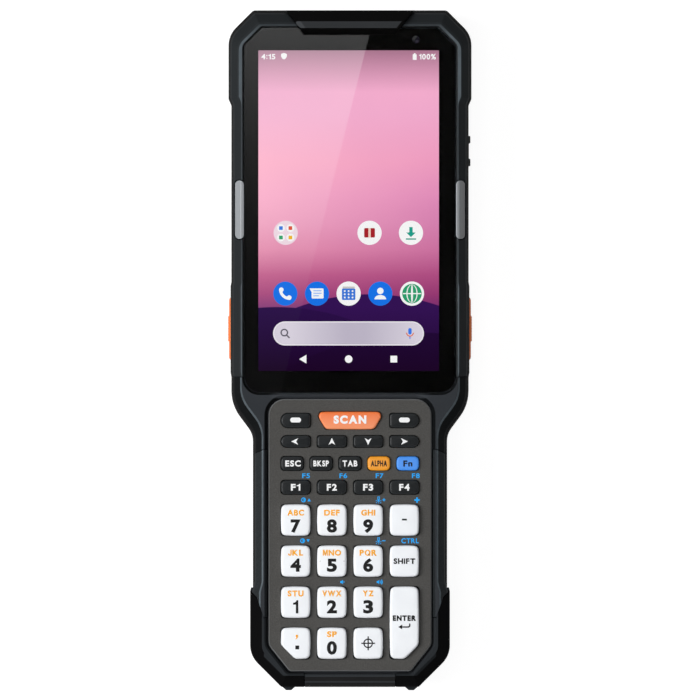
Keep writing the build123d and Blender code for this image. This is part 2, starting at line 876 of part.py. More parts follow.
def scan_hood():
    """The brow over the scan window: a raised block with a flat strip on top."""
    face = glass_top - hood_face_drop
    high, low = scanner_y - hood_back, scanner_y - hood_reach
    mid = scanner_y - hood_slope
    strip_low = mid - hood_strip
    mid_half = (hood_width + hood_foot_width) / 4
    foot = both_sides([
        (hood_foot_width / 2, low, hood_corner, 1.0), (mid_half, mid, hood_corner, 1.0),
        (hood_width / 2, high, hood_corner, 1.0)])
    strip_half = hood_top_width / 2
    strip = both_sides([
        (strip_half - hood_strip_step - hood_strip_cut, strip_low, hood_corner, 1.0),
        (strip_half - hood_strip_step, mid - hood_strip / 2, hood_corner, 1.0),
        (strip_half, mid, hood_corner, 1.0)])
    block = loft([Pos(0, 0, face) * outline(foot), Pos(0, 0, hood_top) * outline(strip)], ruled=True)
    apron = prism([
        (-hood_width / 2, high), (-mid_half, mid), (mid_half, mid), (hood_width / 2, high),
    ], hood_seat, face)
    tongue = prism([
        (-mid_half, mid), (-hood_foot_width / 2, low), (hood_foot_width / 2, low), (mid_half, mid),
    ], glass_bottom, face)
    return block + apron + tongue


# ---------------------------------------------------------------- case back
scoop_low = neck_low + scoop_rise
scoop_high = scanner_y - scoop_drop


def scoop(grow):
    """The shallow hollow across the back of the head, grown into the wall by a thickness."""
    return side_prism([
        (scoop_low - grow, -5), (scoop_low - grow, 0), (scoop_low + scoop_slope, scoop_depth + grow),
        (scoop_high - scoop_slope, scoop_depth + grow), (scoop_high + grow, 0), (scoop_high + grow, -5),
    ], head_half + 10)


def back_height(y):
    """How high the back of the case, or the battery bay's roof, lies over the table along it."""
    if y < battery_high:
        return bay_top
    if scoop_low + scoop_slope < y < scoop_high - scoop_slope:
        return scoop_depth
    return 0.0


def battery_box(gap, bottom):
    """The room of the battery pack, grown by a gap."""
    half = battery_width / 2 + gap
    return box((-half, battery_low - gap, bottom), (half, battery_high + gap, battery_height + gap))


def battery_pack():
    """The battery pack: its outer side is the back of the grip."""
    back = stack(core_corners, rear_levels) + (stack(case_corners, belly_levels) & boot_zone(0))
    pack = back & battery_box(0, -1)
    for side in (-1, 1):
        for step in range(battery_ribs):
            y = battery_low + battery_length * (step + 1) / (battery_ribs + 1)
            x = side * battery_rib_middle
            pack -= box((x - battery_rib_length / 2, y - battery_rib_width / 2, -1),
                        (x + battery_rib_length / 2, y + battery_rib_width / 2, battery_rib_depth))
    return pack


def latch_pocket():
    """The pocket that the battery latch slides in, with a groove on each side."""
    half = latch_width / 2 + seam
    high = latch_low + latch_length + latch_travel + latch_end_gap
    latch_top = latch_sunk + latch_height
    pocket = box((-half, latch_low - seam, -1), (half, high, latch_top + latch_gap))
    rail_half = half + latch_rail
    return pocket + box((-rail_half, latch_low - seam, latch_top - latch_rail_low - latch_gap),
                        (rail_half, high, latch_top - latch_rail_high + latch_gap + latch_rail_gap))


def battery_latch():
    """The sliding latch, ribbed for the thumb."""
    half = latch_width / 2
    high = latch_low + latch_length
    top = latch_sunk + latch_height
    latch = box((-half, latch_low, latch_sunk), (half, high, top))
    latch += box((-half - latch_rail, latch_low, top - latch_rail_low),
                 (half + latch_rail, high, top - latch_rail_high))
    rib_half = half - latch_rib_inset
    for step in range(latch_ribs):
        y = latch_low + latch_length * (step + 1) / (latch_ribs + 1)
        latch -= box((-rib_half, y - latch_rib_width / 2, latch_sunk - 1),
                     (rib_half, y + latch_rib_width / 2, latch_sunk + latch_rib_depth))
    return latch


control_inner = waist_half - wall - control_gap - control_flange_thickness


def side_pocket(y, length_along, low, height):
    """The opening in the right wall for a side control, with room for its flange behind."""
    wide = shoulder_half + 5
    gap = control_gap
    opening = box((control_inner, y - length_along / 2 - gap, low - gap),
                  (wide, y + length_along / 2 + gap, low + height + gap))
    reach = control_flange + gap
    behind = box((control_inner - trigger_travel - flange_room, y - length_along / 2 - reach, low - reach),
                 (waist_half - wall, y + length_along / 2 + reach, low + height + reach))
    return opening + behind


main_board_low = parting + board_rise
engine_low = window_middle - engine_height / 2 + engine_rise
post_places = [(post_x, glass_low + post_rise), (post_x, scanner_y - post_drop)]


def posts():
    """Posts under the main board and pads under the scan engine."""
    shapes = [rod(side * x, y, post_diameter, 1, main_board_low - glue_gap)
              for x, y in post_places for side in (-1, 1)]
    engine_y = scanner_y - window_inset - window_thickness - engine_depth / 2
    pad_top = engine_low - glue_gap
    for side in (-1, 1):
        shapes.append(rod(side * engine_pad_spread, engine_y, engine_pad_diameter, 1, pad_top))
    return shapes


def rear_housing():
    """The rear housing: floor, walls, bosses, battery bay and every opening in the back."""
    housing = stack(core_corners, rear_levels) - scoop(0)
    hollow_levels = [(back_wall, belly_foot_inset + hollow_foot)]
    hollow_levels += [(height, inset + wall) for height, inset in belly_round[1:]]
    hollow = stack(core_corners, hollow_levels + [(parting + 1, wall)])
    hollow &= box((-far_away, battery_high + battery_gap + bay_wall, 0), (far_away, far_away, parting + 2))
    hollow -= scoop(back_wall)
    latch_half = latch_width / 2 + latch_wall
    latch_end = latch_low + latch_length + latch_travel + latch_end_gap + bay_wall
    hollow -= box((-latch_half, battery_low, 0), (latch_half, latch_end, latch_height + latch_wall))
    for x, y in mirrored_screw_places:
        hollow -= rod(x, y, boss_diameter, -1, parting)
    housing -= hollow
    inside = stack(core_corners, rear_levels) - scoop(0)
    inside += column(core_corners, hollow_inset, parting - 1, parting + 2)
    for post in posts():
        housing += post & inside
    housing -= battery_box(battery_gap, -1)
    housing -= latch_pocket()
    outer = rim + gasket_inset - gasket_gap
    gasket_groove = column(core_corners, outer, rear_top - gasket_sink - gasket_gap, parting)
    inner = outer + gasket_width + 2 * gasket_gap
    housing -= gasket_groove - column(core_corners, inner, rear_top - 1, parting + 1)
    for x, y in mirrored_screw_places:
        seat = back_height(y) + screw_sink + screw_head_height
        housing -= rod(x, y, screw_head_diameter + 2 * screw_head_gap, back_height(y) - 1, seat)
        housing -= rod(x, y, screw_bore, -1, parting)
    housing -= rear_openings()
    trigger_pocket = side_pocket(trigger_y, trigger_length, trigger_low, trigger_height)
    housing -= trigger_pocket
    housing -= mirrored(trigger_pocket)
    housing -= side_pocket(rocker_y, rocker_length, rocker_low, rocker_height)
    return housing - window_room()


def window_room():
    """The stepped opening in the scanner end for its window."""
    half = window_width / 2
    low, high = window_middle - window_height / 2, window_middle + window_height / 2
    back = scanner_y - window_inset - window_thickness
    seat = box((-half - window_gap, back, low - window_gap),
               (half + window_gap, scanner_y + 5, high + window_gap))
    return seat + box((-half + window_lip, scanner_y - window_room_depth, low + window_lip),
                      (half - window_lip, scanner_y, high - window_lip))


def rear_openings():
    """Camera, flash and speaker openings in the back of the head."""
    camera_y = glass_high - rear_camera_drop
    speaker_y = glass_high - speaker_drop
    cuts = rod(rear_camera_x, camera_y, rear_camera_diameter + 2 * lens_gap, -1, lens_room)
    cuts += rod(rear_camera_x, camera_y - flash_step, flash_diameter + 2 * lens_gap, -1, lens_room)
    top = scoop_depth + back_wall + slot_room
    for step in range(slot_count):
        y = speaker_y + (step - (slot_count - 1) / 2) * slot_pitch
        cuts += box((speaker_x - slot_length / 2, y - slot_width / 2, -1),
                    (speaker_x + slot_length / 2, y + slot_width / 2, top))
    return cuts


def rear_camera():
    """The rear camera barrel and the flash lens below it."""
    y = glass_high - rear_camera_drop
    low = scoop_depth + lens_set_back
    barrel = rod(rear_camera_x, y, rear_camera_diameter, low, low + rear_camera_depth)
    barrel -= rod(rear_camera_x, y, rear_lens_diameter, low - 1, low + rear_lens_sink)
    flash = rod(rear_camera_x, y - flash_step, flash_diameter, low, low + flash_depth)
    return [barrel, flash]


def speaker():
    """The loudspeaker behind its slots."""
    y = glass_high - speaker_drop
    low = scoop_depth + back_wall + speaker_gap
    half_x, half_y = speaker_width / 2, speaker_length / 2
    return box((speaker_x - half_x, y - half_y, low),
               (speaker_x + half_x, y + half_y, low + speaker_height))


def housing_screws():
    """The screws that hold the two housings together, put in from the back."""
    screws = []
    for x, y in mirrored_screw_places:
        low = back_height(y) + screw_sink
        head = rod(x, y, screw_head_diameter, low, low + screw_head_height)
        shank = rod(x, y, screw_diameter, low + screw_overlap, screw_tip - boss_tip)
        cross = [box((x - run / 2, y - rise / 2, low - 1), (x + run / 2, y + rise / 2, low + cross_depth))
                 for run, rise in ((cross_length, cross_width), (cross_width, cross_length))]
        screws.append(head + shank - cross[0] - cross[1])
    return screws


def main_board():
    """The main board under the display, with its shields and connectors."""
    low, high = glass_low + board_start, scanner_y - board_end
    half = waist_half - hollow_inset - board_gap
    top = main_board_low + board_thickness
    board = box((-half, low, main_board_low), (half, high, top))
    for x, y in mirrored_screw_places:
        board -= rod(x, y, boss_diameter + 2 * board_screw_gap, 0, crest)
    for left, start, width, run, height in shields:
        board += box((left, low + start, main_board_low - height),
                     (left + width, low + start + run, main_board_low))
    return board


def scan_engine():
    """The imager behind the scan window."""
    high = scanner_y - window_inset - window_thickness - engine_gap
    low = high - engine_depth
    half = engine_width / 2
    engine = box((-half, low, engine_low), (half, high - engine_nose, engine_low + engine_height))
    nose_half, nose_rise = half - engine_nose_inset, window_height / 2 - engine_nose_drop
    engine += box((-nose_half, low, window_middle - nose_rise),
                  (nose_half, high, window_middle + nose_rise))
    for x, diameter in ((imager_x, imager_diameter), (aimer_x, aimer_diameter)):
        engine -= Pos(x, high, window_middle) * Rot(90, 0, 0) * Cylinder(diameter / 2, 2 * lens_sink)
    return engine


def scan_window():
    """The window in the scanner end."""
    half = window_width / 2
    low, high = window_middle - window_height / 2, window_middle + window_height / 2
    front = scanner_y - window_inset
    return box((-half, front - window_thickness + window_seat_gap, low), (half, front, high))


# ---------------------------------------------------------------- side controls
def control(points, y, length_along, low, height):
    """A side button from its outline seen from the front, with a flange behind the wall."""
    cap = prism(points, low, low + height)
    rims = cap.edges().group_by(Axis.Z)
    outer = [edge for edge in rims[0] + rims[-1] if edge.center().X > waist_half - control_edge]
    cap = chamfer(outer, control_edge)
    half = length_along / 2 + control_flange
    flange = box((control_inner, y - half, low - control_flange),
                 (control_inner + control_flange_thickness, y + half, low + height + control_flange))
    return cap + flange


def trigger():
    """The right scan trigger, with a raised pad in its middle."""
    inner = control_inner
    low, high = trigger_low_y, trigger_high_y
    face = waist_half + trigger_proud
    pad_low, pad_high = trigger_y - trigger_crown_length / 2, trigger_y + trigger_crown_length / 2
    raised = face + trigger_crown
    points = [
        (inner, low), (face - trigger_end_step, low), (face, low + trigger_end_run),
        (face, pad_low - pad_slope), (raised, pad_low), (raised, pad_high), (face, pad_high + pad_slope),
        (face, high - trigger_end_run), (face - trigger_end_step, high), (inner, high),
    ]
    return control(points, trigger_y, trigger_length, trigger_low, trigger_height)


def volume_rocker():
    """The volume rocker, with a raised nub at each end."""
    inner = control_inner
    low, high = rocker_y - rocker_length / 2, rocker_y + rocker_length / 2
    face = waist_half + rocker_valley
    raised = waist_half + rocker_proud
    valley_low, valley_high = low + rocker_pad + rocker_slope, high - rocker_pad - rocker_slope
    points = [
        (inner, low), (raised, low), (raised, low + rocker_pad), (face, valley_low),
        (face, valley_high), (raised, high - rocker_pad), (raised, high), (inner, high),
    ]
    return control(points, rocker_y, rocker_length, rocker_low, rocker_height)


# ---------------------------------------------------------------- lower end
hinge_y = end_y + boot_wall / 2


def core_solid(gap):
    """The two housings together where the boot is put over them, grown by a gap."""
    levels = [(height, inset - gap) for height, inset in belly_levels]
    return stack(core_corners, levels + [(boot_cap, -gap)])


def boot_form():
    """The boot and its port cover as one piece, before they are parted."""
    form = stack(case_corners, boot_levels) & boot_zone(0)
    form -= core_solid(glue_gap)
    form -= column(plate_corners, -groove, boot_cap - glue_gap, crest)
    form -= keypad_well()
    form -= rail_zone(seam)
    return form - mirrored(rail_zone(seam))


def cover_zone(gap):
    """The part of the boot that is the port cover, with its round hinge edge."""
    half = cover_width / 2 + gap
    knuckle = boot_wall / 2 - glue_gap + gap
    zone = box((-half, end_y - 5, cover_hinge_height), (half, end_y + cover_lip + gap, crest + 5))
    round_edge = Pos(0, hinge_y, cover_hinge_height) * Rot(0, 90, 0) * Cylinder(knuckle, 2 * half)
    return zone + round_edge


def bottom_boot():
    """The rubber boot, with two nubs on its end."""
    boot = boot_form() - cover_zone(seam) - battery_box(battery_gap, -1)
    half = cover_width / 2 + seam
    knuckle = boot_wall / 2 - glue_gap + seam
    boot -= box((-half, end_y - 5, cover_hinge_height - knuckle), (half, hinge_y, cover_hinge_height))
    nub = prism([
        (nub_middle - nub_width / 2, end_y), (nub_middle - nub_tip_width / 2, end_y - nub_height),
        (nub_middle + nub_tip_width / 2, end_y - nub_height), (nub_middle + nub_width / 2, end_y),
        (nub_middle + nub_width / 2, end_y + nub_root), (nub_middle - nub_width / 2, end_y + nub_root),
    ], nub_low, nub_high)
    boot += nub
    boot += mirrored(nub)
    return boot


def port_cover():
    """The rubber cover of the port, which swings down on its lower edge."""
    return boot_form() & cover_zone(0)


def socket_room(gap):
    """The room of the port in the end wall, grown by a gap."""
    half, rise = socket_width / 2 + gap, socket_height / 2 + gap
    return box((-half, core_end - 5, socket_middle - rise),
               (half, core_end + socket_depth + socket_slack, socket_middle + rise))


def io_connector():
    """The port behind the cover: a metal shell with a tongue inside."""
    low = core_end + socket_set_back
    high = low + socket_depth
    half, rise = socket_width / 2, socket_height / 2
    shell = box((-half, low, socket_middle - rise), (half, high, socket_middle + rise))
    mouth = box((-half + socket_wall, low - 1, socket_middle - rise + socket_wall),
                (half - socket_wall, high - socket_back, socket_middle + rise - socket_wall))
    tongue = box((-half + tongue_inset, low + 1, socket_middle - tongue_thickness / 2),
                 (half - tongue_inset, high, socket_middle + tongue_thickness / 2))
    return shell - mouth + tongue


# ---------------------------------------------------------------- the files
def write(name, shape):
    """Write one node, whose solids stay apart when there are several."""
    solids = shape if isinstance(shape, list) else [shape]
    solids = [solid for piece in solids for solid in piece.solids()]
    export_step(Compound(children=solids) if len(solids) > 1 else solids[0], "parts/" + name + ".step")


right_bar = light_bar()
right_rail = grip_rail()
right_trigger = trigger()

write("rear_housing", rear_housing())
write("front_housing", front_housing())
write("upper_bezel", upper_bezel())
write("right_grip_rail", right_rail)
write("left_grip_rail", mirrored(right_rail))
write("bottom_boot", bottom_boot())
write("scan_hood", scan_hood())
write("scan_window", scan_window())
write("scan_engine", scan_engine())
write("display_glass", display_glass())
write("display_module", display_module())
write("keypad_plate", keypad_plate())
write("keypad_mat", keypad_mat())
write("keypad_board", keypad_board())
write("dome_switches", dome_switches())
write("main_board", main_board())
write("case_gasket", case_gasket())
write("light_bars", [right_bar, mirrored(right_bar)])
write("front_camera", front_camera())
write("rear_camera", rear_camera())
write("speaker", speaker())
write("housing_screws", housing_screws())
write("io_connector", io_connector())
write("right_trigger", right_trigger)
write("left_trigger", mirrored(right_trigger))
write("volume_rocker", volume_rocker())
write("battery_pack", battery_pack())
write("battery_latch", battery_latch())
write("port_cover", port_cover())
for key_name, (key_corners, rise) in keys.items():
    write(key_name, key_cap(key_corners, rise))

print("length", round(length, 2), "grip", round(2 * grip_half, 2), "head", round(2 * head_half, 2))
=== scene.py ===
import math

import bmesh
import bpy
from bpy.props import FloatProperty, FloatVectorProperty, PointerProperty
from mathutils import Matrix, Vector


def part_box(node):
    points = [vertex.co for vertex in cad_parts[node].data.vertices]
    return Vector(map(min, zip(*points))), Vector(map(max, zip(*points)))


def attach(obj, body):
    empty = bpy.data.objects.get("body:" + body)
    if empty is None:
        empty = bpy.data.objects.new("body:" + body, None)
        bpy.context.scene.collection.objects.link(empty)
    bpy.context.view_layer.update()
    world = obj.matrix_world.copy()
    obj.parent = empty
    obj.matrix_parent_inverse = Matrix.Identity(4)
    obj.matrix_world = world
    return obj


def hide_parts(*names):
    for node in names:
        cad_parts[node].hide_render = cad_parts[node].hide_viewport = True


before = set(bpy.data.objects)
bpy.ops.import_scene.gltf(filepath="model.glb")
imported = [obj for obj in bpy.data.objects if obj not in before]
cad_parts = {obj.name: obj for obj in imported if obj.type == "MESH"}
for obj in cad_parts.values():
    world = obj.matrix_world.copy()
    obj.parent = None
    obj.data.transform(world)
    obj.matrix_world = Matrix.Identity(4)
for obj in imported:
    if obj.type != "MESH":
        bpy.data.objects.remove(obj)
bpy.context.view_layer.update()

bl_info = {
    "name": "Portable Data Terminal",
    "version": (1, 0, 0),
    "blender": (4, 5, 0),
    "location": "View3D > Sidebar > Terminal",
    "description": "Dresses the frame of a hand-held data terminal with a keypad",
    "category": "Add Mesh",
}

MM = 0.001


# ---------------------------------------------------------------- settings
def linear(code):
    """A colour written as six hex digits, as the linear values that Blender holds."""
    channels = [((code >> shift) & 255) / 255 for shift in (16, 8, 0)]
    return tuple(c / 12.92 if c <= 0.04045 else ((c + 0.055) / 1.055) ** 2.4 for c in channels)


def tint(name, description, code):
    """A colour setting."""
    return FloatVectorProperty(
        name=name, description=description, default=linear(code), subtype="COLOR", min=0.0, max=1.0)


def distance(name, description, millimetres):
    """A length setting, in metres."""
    return FloatProperty(
        name=name, description=description, default=millimetres * MM, unit="LENGTH",
        subtype="DISTANCE", precision=5)


class TerminalColours(bpy.types.PropertyGroup):
    """Every colour of the terminal."""
    shell: tint("Shell", "Black plastic of the rear housing", 0x0E0E0F)
    frame_slope: tint("Frame slope", "Outer slope of the bezel and the grip rails", 0x232628)
    # painted highlight: the colour of the frame's crest bevels
    frame_highlight: tint("Frame line", "Rubbed line along the frame's crest", 0x5F686E)
    # painted light: the lighter colour of flat tops, as lit from above
    frame_flat: tint("Frame flat", "Flat charcoal faces of the neck", 0x33363A)
    rubber: tint("Rubber", "Slopes of the boot and the port cover", 0x0A0A0B)
    rubber_line: tint("Rubber line", "Edge of the boot's lip", 0x4A4E52)
    # painted light: the lighter colour of the boot's flat lip and inner slopes, as lit faces
    rubber_flat: tint("Rubber flat", "Lip of the boot", 0x2C2F32)
    hood: tint("Hood", "Black plastic of the scan hood", 0x080808)
    # painted light: the hood's flat strip, lighter as lit from above; a paler copy is a painted highlight on
    # its left end
    hood_strip: tint("Hood strip", "Flat strip on top of the scan hood", 0x323436)
    plate: tint("Keypad plate", "Brown grey plate round the keys", 0x4B4A48)
    key_white: tint("White key", "Number keys", 0xF5F8FC)
    key_dark: tint("Dark key", "Function and arrow keys", 0x1B1E20)
    key_orange: tint("Scan key", "Orange key", 0xF4793C)
    key_amber: tint("Amber key", "ALPHA key", 0xF5A02A)
    key_blue: tint("Blue key", "Fn key", 0x4A96F5)
    trigger: tint("Trigger", "Orange side triggers", 0xFF7A30)
    ink_black: tint("Black ink", "Digits on the white keys", 0x0B0B0C)
    ink_white: tint("White ink", "Words on the dark keys", 0xF6F7F8)
    ink_orange: tint("Orange ink", "Letters on the white keys", 0xFFAE20)
    ink_blue: tint("Blue ink", "Second functions on the plate", 0x00A8FF)
    light_bar: tint("Light bar", "Frosted bars beside the screen", 0x8C9094)
    # painted highlight on the rims of the frosted bars
    light_bar_highlight: tint("Light bar edge", "Lighter rim of the frosted bars", 0xC9D1D8)
    board: tint("Circuit board", "Solder mask", 0x1D4A34)
    silicone: tint("Silicone", "Keypad mat and seals", 0x5C5E60)
    steel: tint("Steel", "Screws, shields and shells", 0xA9ABAE)


class TerminalSizes(bpy.types.PropertyGroup):
    """Sizes that only the looks need; all the others come from the frame."""
    key_flange: distance("Key flange", "Hidden edge under the plate, round each key", 0.45)
    key_bow: distance("Key bow", "How far a key's sides bulge in their middle", 0.22)
    key_dome: distance("Key dome", "Height of a key's top over its rounded edge", 0.12)
    legend_proud: distance("Legend height", "How far printed legends stand over their key", 0.03)
    picture_shift: distance("Picture shift", "The picture's middle from the case's middle", -0.4)
    picture_width: distance("Picture width", "Lit width of the display", 53.6)
    picture_height: distance("Picture height", "Lit height of the display", 95.15)
    picture_drop: distance("Picture drop", "From the glass's top edge to the picture", 6.69)
    soft_edge: distance("Soft edge", "Rounding that moulded edges show", 0.22)
    button_flange: distance("Button flange", "Rim of a side button, behind the case's wall", 0.8)
    button_flange_thickness: distance("Flange thickness", "Thickness of that rim", 1.0)
    pixel: distance("Pixel", "What one pixel of a 700 pixel picture covers on the glass", 0.2968)
    card_height: distance("Card height", "Studio card over the floor", 1000.0)
    camera_height: distance("Camera height", "Camera over the floor", 9000.0)


def colours():
    """The colour settings of this scene."""
    return bpy.context.scene.terminal_colours


def sizes():
    """The size settings of this scene."""
    return bpy.context.scene.terminal_sizes


# ---------------------------------------------------------------- material nodes
BLACK, WHITE = (0.0, 0.0, 0.0), (1.0, 1.0, 1.0)
SOCKETS = {
    "colour": "Base Color", "roughness": "Roughness", "specular": "Specular IOR Level",
    "metallic": "Metallic", "coat": "Coat Weight", "coat_roughness": "Coat Roughness",
    "clear": "Transmission Weight", "index": "IOR", "soft": "Subsurface Weight",
    "soft_depth": "Subsurface Scale", "glow": "Emission Strength", "glow_colour": "Emission Color",
    "normal": "Normal",
}


def new_material(name):
    """An empty material with its tree and its principled shader."""
    material = bpy.data.materials.new("finish_" + name)
    material.use_nodes = True
    return material, material.node_tree, material.node_tree.nodes["Principled BSDF"]


def finish_of(name):
    """A material made by the finishes operator."""
    return bpy.data.materials["finish_" + name]


def feed(value, socket):
    """Joins a node's output to a socket, or sets the socket to a plain value."""
    if isinstance(value, bpy.types.NodeSocket):
        socket.id_data.links.new(value, socket)
    elif socket.type == "RGBA" and len(value) == 3:
        socket.default_value = (*value, 1.0)
    else:
        socket.default_value = value


def dress(shader, **values):
    """Sets or joins the shader's sockets, by their short names."""
    for name, value in values.items():
        feed(value, shader.inputs[SOCKETS[name]])


def add_node(tree, kind, inputs=None, **settings):
    """A node with its settings, and with values or outputs in its inputs."""
    node = tree.nodes.new("ShaderNode" + kind)
    for name, value in settings.items():
        setattr(node, name, value)
    for name, value in (inputs or {}).items():
        feed(value, node.inputs[name])
    return node


def tree_of(*values):
    """The tree of the first value that comes from a node."""
    return next(value.id_data for value in values if isinstance(value, bpy.types.NodeSocket))


def place(tree):
    """Where a point lies in its piece, in metres."""
    return add_node(tree, "TexCoord").outputs["Object"]


def axis(tree, letter):
    """The x, y or z of the point."""
    return add_node(tree, "SeparateXYZ", {0: place(tree)}).outputs[letter]


def rise(tree):
    """How far a face looks up: 1 on flat tops and 0 on upright walls."""
    normal = add_node(tree, "NewGeometry").outputs["True Normal"]
    return add_node(tree, "SeparateXYZ", {0: normal}).outputs["Z"]


def noise(tree, size, detail=2.0, point=None):
    """Soft random spots of about a size."""
    inputs = {"Vector": point or place(tree), "Scale": 1.0 / size, "Detail": detail}
    return add_node(tree, "TexNoise", inputs).outputs["Fac"]


def spread(value, low, high, to_low=0.0, to_high=1.0):
    """A value moved from one range to another, and held at its ends."""
    inputs = dict(enumerate((value, low, high, to_low, to_high)))
    return add_node(tree_of(value), "MapRange", inputs).outputs["Result"]


def maths(operation, first, second=0.0):
    """Plain arithmetic of two values."""
    inputs = {0: first, 1: second}
    return add_node(tree_of(first, second), "Math", inputs, operation=operation).outputs["Value"]


def times(first, *others):
    """The product of some values."""
    for other in others:
        first = maths("MULTIPLY", first, other)
    return first


def between(value, low, low_end, high, high_end):
    """1 while a value lies between two others, with a soft rise and fall."""
    return times(spread(value, low, low_end), spread(value, high, high_end, 1.0, 0.0))


def blend(share, first, second, way="MIX"):
    """A mix of two colours."""
    node = add_node(tree_of(share, first, second), "Mix", data_type="RGBA", blend_type=way)
    for value, number in ((share, 0), (first, 6), (second, 7)):
        feed(value, node.inputs[number])
    return node.outputs[2]


def tinted(first, second):
    """The product of two colours."""
    return blend(1.0, first, second, "MULTIPLY")


def scaled(colour, share):
    """A colour made lighter or darker."""
    return tuple(min(channel * share, 1.0) for channel in colour)


def clouded(tree, size, colour, low, high, detail=2.0):
    """A colour that drifts between two shares of itself."""
    return blend(noise(tree, size, detail), scaled(colour, low), scaled(colour, high))


def soft_normal(tree, radius):
    """The surface's normal, with its edges rounded by a radius."""
    return add_node(tree, "Bevel", {"Radius": radius}, samples=6).outputs["Normal"]


def edge_share(tree, radius, sharpness=0.12):
    """1 on the edges of a piece and 0 on its flat sides."""
    normal = add_node(tree, "NewGeometry").outputs["Normal"]
    facing = add_node(tree, "VectorMath", {0: soft_normal(tree, radius), 1: normal}, operation="DOT_PRODUCT")
    return spread(facing.outputs["Value"], 1.0, 1.0 - sharpness)


def relief(shader, height, depth, radius=None):
    """A raised pattern on the shader's surface, over edges rounded by a radius."""
    tree = shader.id_data
    node = add_node(tree, "Bump", {"Strength": 1.0, "Distance": depth, "Height": height})
    if radius:
        feed(soft_normal(tree, radius), node.inputs["Normal"])
    dress(shader, normal=node.outputs["Normal"])


def paint_over(material, share, colour):
    """Lays a colour over a share of a material."""
    socket = material.node_tree.nodes["Principled BSDF"].inputs["Base Color"]
    feed(blend(share, socket.links[0].from_socket, colour), socket)
    return material


# ---------------------------------------------------------------- materials of the case
CREST_FOOT = 27.25 * MM     # over this height the frame's bevels get a painted highlight
COVER_BANDS = (             # heights in millimetres, colour and its share
    (24.7, 25.4, "rubber_flat", 1.2), (25.4, 27.05, "rubber", 1.6), (27.05, 30.0, "rubber_flat", 1.4),
)


def moulded(name, colour, edge, roughness, specular=0.15, grain_size=0.25, grain_depth=0.003,
            fleck=0.08, wear=0.6):
    """Moulded plastic or rubber: grain, faint patches, fine flecks, and lighter edges that stand for wear and
    a painted highlight.
    """
    material, tree, shader = new_material(name)
    patches = noise(tree, 9 * MM, 3.0)
    ground = tinted(blend(patches, scaled(WHITE, 0.88), (1.12, 1.12, 1.12)), colour)
    flecks = spread(noise(tree, grain_size * 1.6 * MM, 1.0), 0.45, 0.72, 0.0, fleck)
    ground = blend(flecks, ground, edge)
    scuffs = spread(noise(tree, 1.4 * MM, 3.0), 0.35, 0.65, 0.6, 1.0)
    # lighter edges: partly wear, partly a painted highlight on rounded edges
    edges = times(edge_share(tree, 1.3 * sizes().soft_edge), scuffs, wear)
    dress(shader, colour=blend(edges, ground, edge), specular=specular,
          roughness=spread(patches, 0.3, 0.7, roughness - 0.05, roughness + 0.05))
    relief(shader, noise(tree, grain_size * MM, 3.0), grain_depth * MM, sizes().soft_edge)
    return material


def flat_share(tree):
    """1 on flat tops and 0 on everything that slopes."""
    return spread(rise(tree), 0.94, 0.97)


def by_tilt(name, slope, line, flat, line_from, **finish):
    """Moulded plastic with painted light: a lighter colour on flat tops, as lit from above, and a painted
    highlight colour on the bevels over a height.
    """
    material = moulded(name, slope, line, **finish)
    tree = material.node_tree
    # painted highlight on the bevels over a height
    bevel = times(between(rise(tree), 0.6, 0.63, 0.92, 0.96),
                  spread(axis(tree, "Z"), line_from - 0.04 * MM, line_from),
                  spread(noise(tree, 2.2 * MM), 0.3, 0.7, 0.75, 1.0))
    # painted light: flat tops get a lighter colour than the slopes
    paint_over(material, flat_share(tree), clouded(tree, 7 * MM, flat, 0.9, 1.1, 3.0))
    return paint_over(material, bevel, line)


def rear_shell():
    """Black glass-filled plastic."""
    shell = colours().shell
    return moulded("rear_shell", shell, scaled(shell, 3.2), 0.5)


def battery_case():
    """The battery's outer plastic, a little smoother than the shell."""
    shell = colours().shell
    return moulded("battery_case", scaled(shell, 1.25), scaled(shell, 3.5), 0.42, 0.2, 0.35)


def front_frame():
    """Charcoal plastic of the rails, with a painted highlight along its crest and flat tops painted lighter.
    """
    key = colours()
    return by_tilt("front_frame", key.frame_slope, key.frame_highlight, key.frame_flat, CREST_FOOT,
                   roughness=0.5, specular=0.04, wear=0.25)


def bezel_plastic():
    """Charcoal plastic of the bezel, with a painted highlight on its narrow crest along the sides."""
    slope = colours().frame_slope
    material = by_tilt("bezel_plastic", slope, scaled(slope, 1.4), slope, CREST_FOOT,
                       roughness=0.5, specular=0.04, wear=0.2, fleck=0.03)
    tree = material.node_tree
    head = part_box("display_glass")[1].y
    # painted highlight on the crest's flat tops, weaker towards the head
    painted_crest_highlight = times(flat_share(tree), spread(axis(tree, "Y"), head - 3 * MM, head + MM, 1.0, 0.3),
                   spread(noise(tree, 2.2 * MM), 0.3, 0.7, 0.8, 1.0))
    return paint_over(material, painted_crest_highlight, scaled(colours().frame_highlight, 0.85))


def neck_plastic():
    """Charcoal plastic of the neck, with painted shade that makes its shoulders black, and painted light on
    its flats and on the bridge over the keypad.
    """
    key = colours()
    # painted shade: the sloping shoulders get a near black copy of the frame's colour
    material = by_tilt("neck_plastic", scaled(key.frame_slope, 0.3), scaled(key.frame_highlight, 0.8),
                       key.frame_flat, CREST_FOOT, roughness=0.5, specular=0.02, wear=0.1, fleck=0.02)
    tree = material.node_tree
    low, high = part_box("keypad_plate")[1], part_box("display_glass")[0]
    # painted light: the bridge between the glass and the keypad gets a paler colour
    along = between(axis(tree, "Y"), low.y + 0.1 * MM, low.y + 0.4 * MM, high.y - 0.1 * MM, high.y)
    across = spread(maths("ABSOLUTE", axis(tree, "X")), low.x - 3 * MM, low.x, 1.0, 0.0)
    return paint_over(material, times(along, across), scaled(key.frame_flat, 1.5))


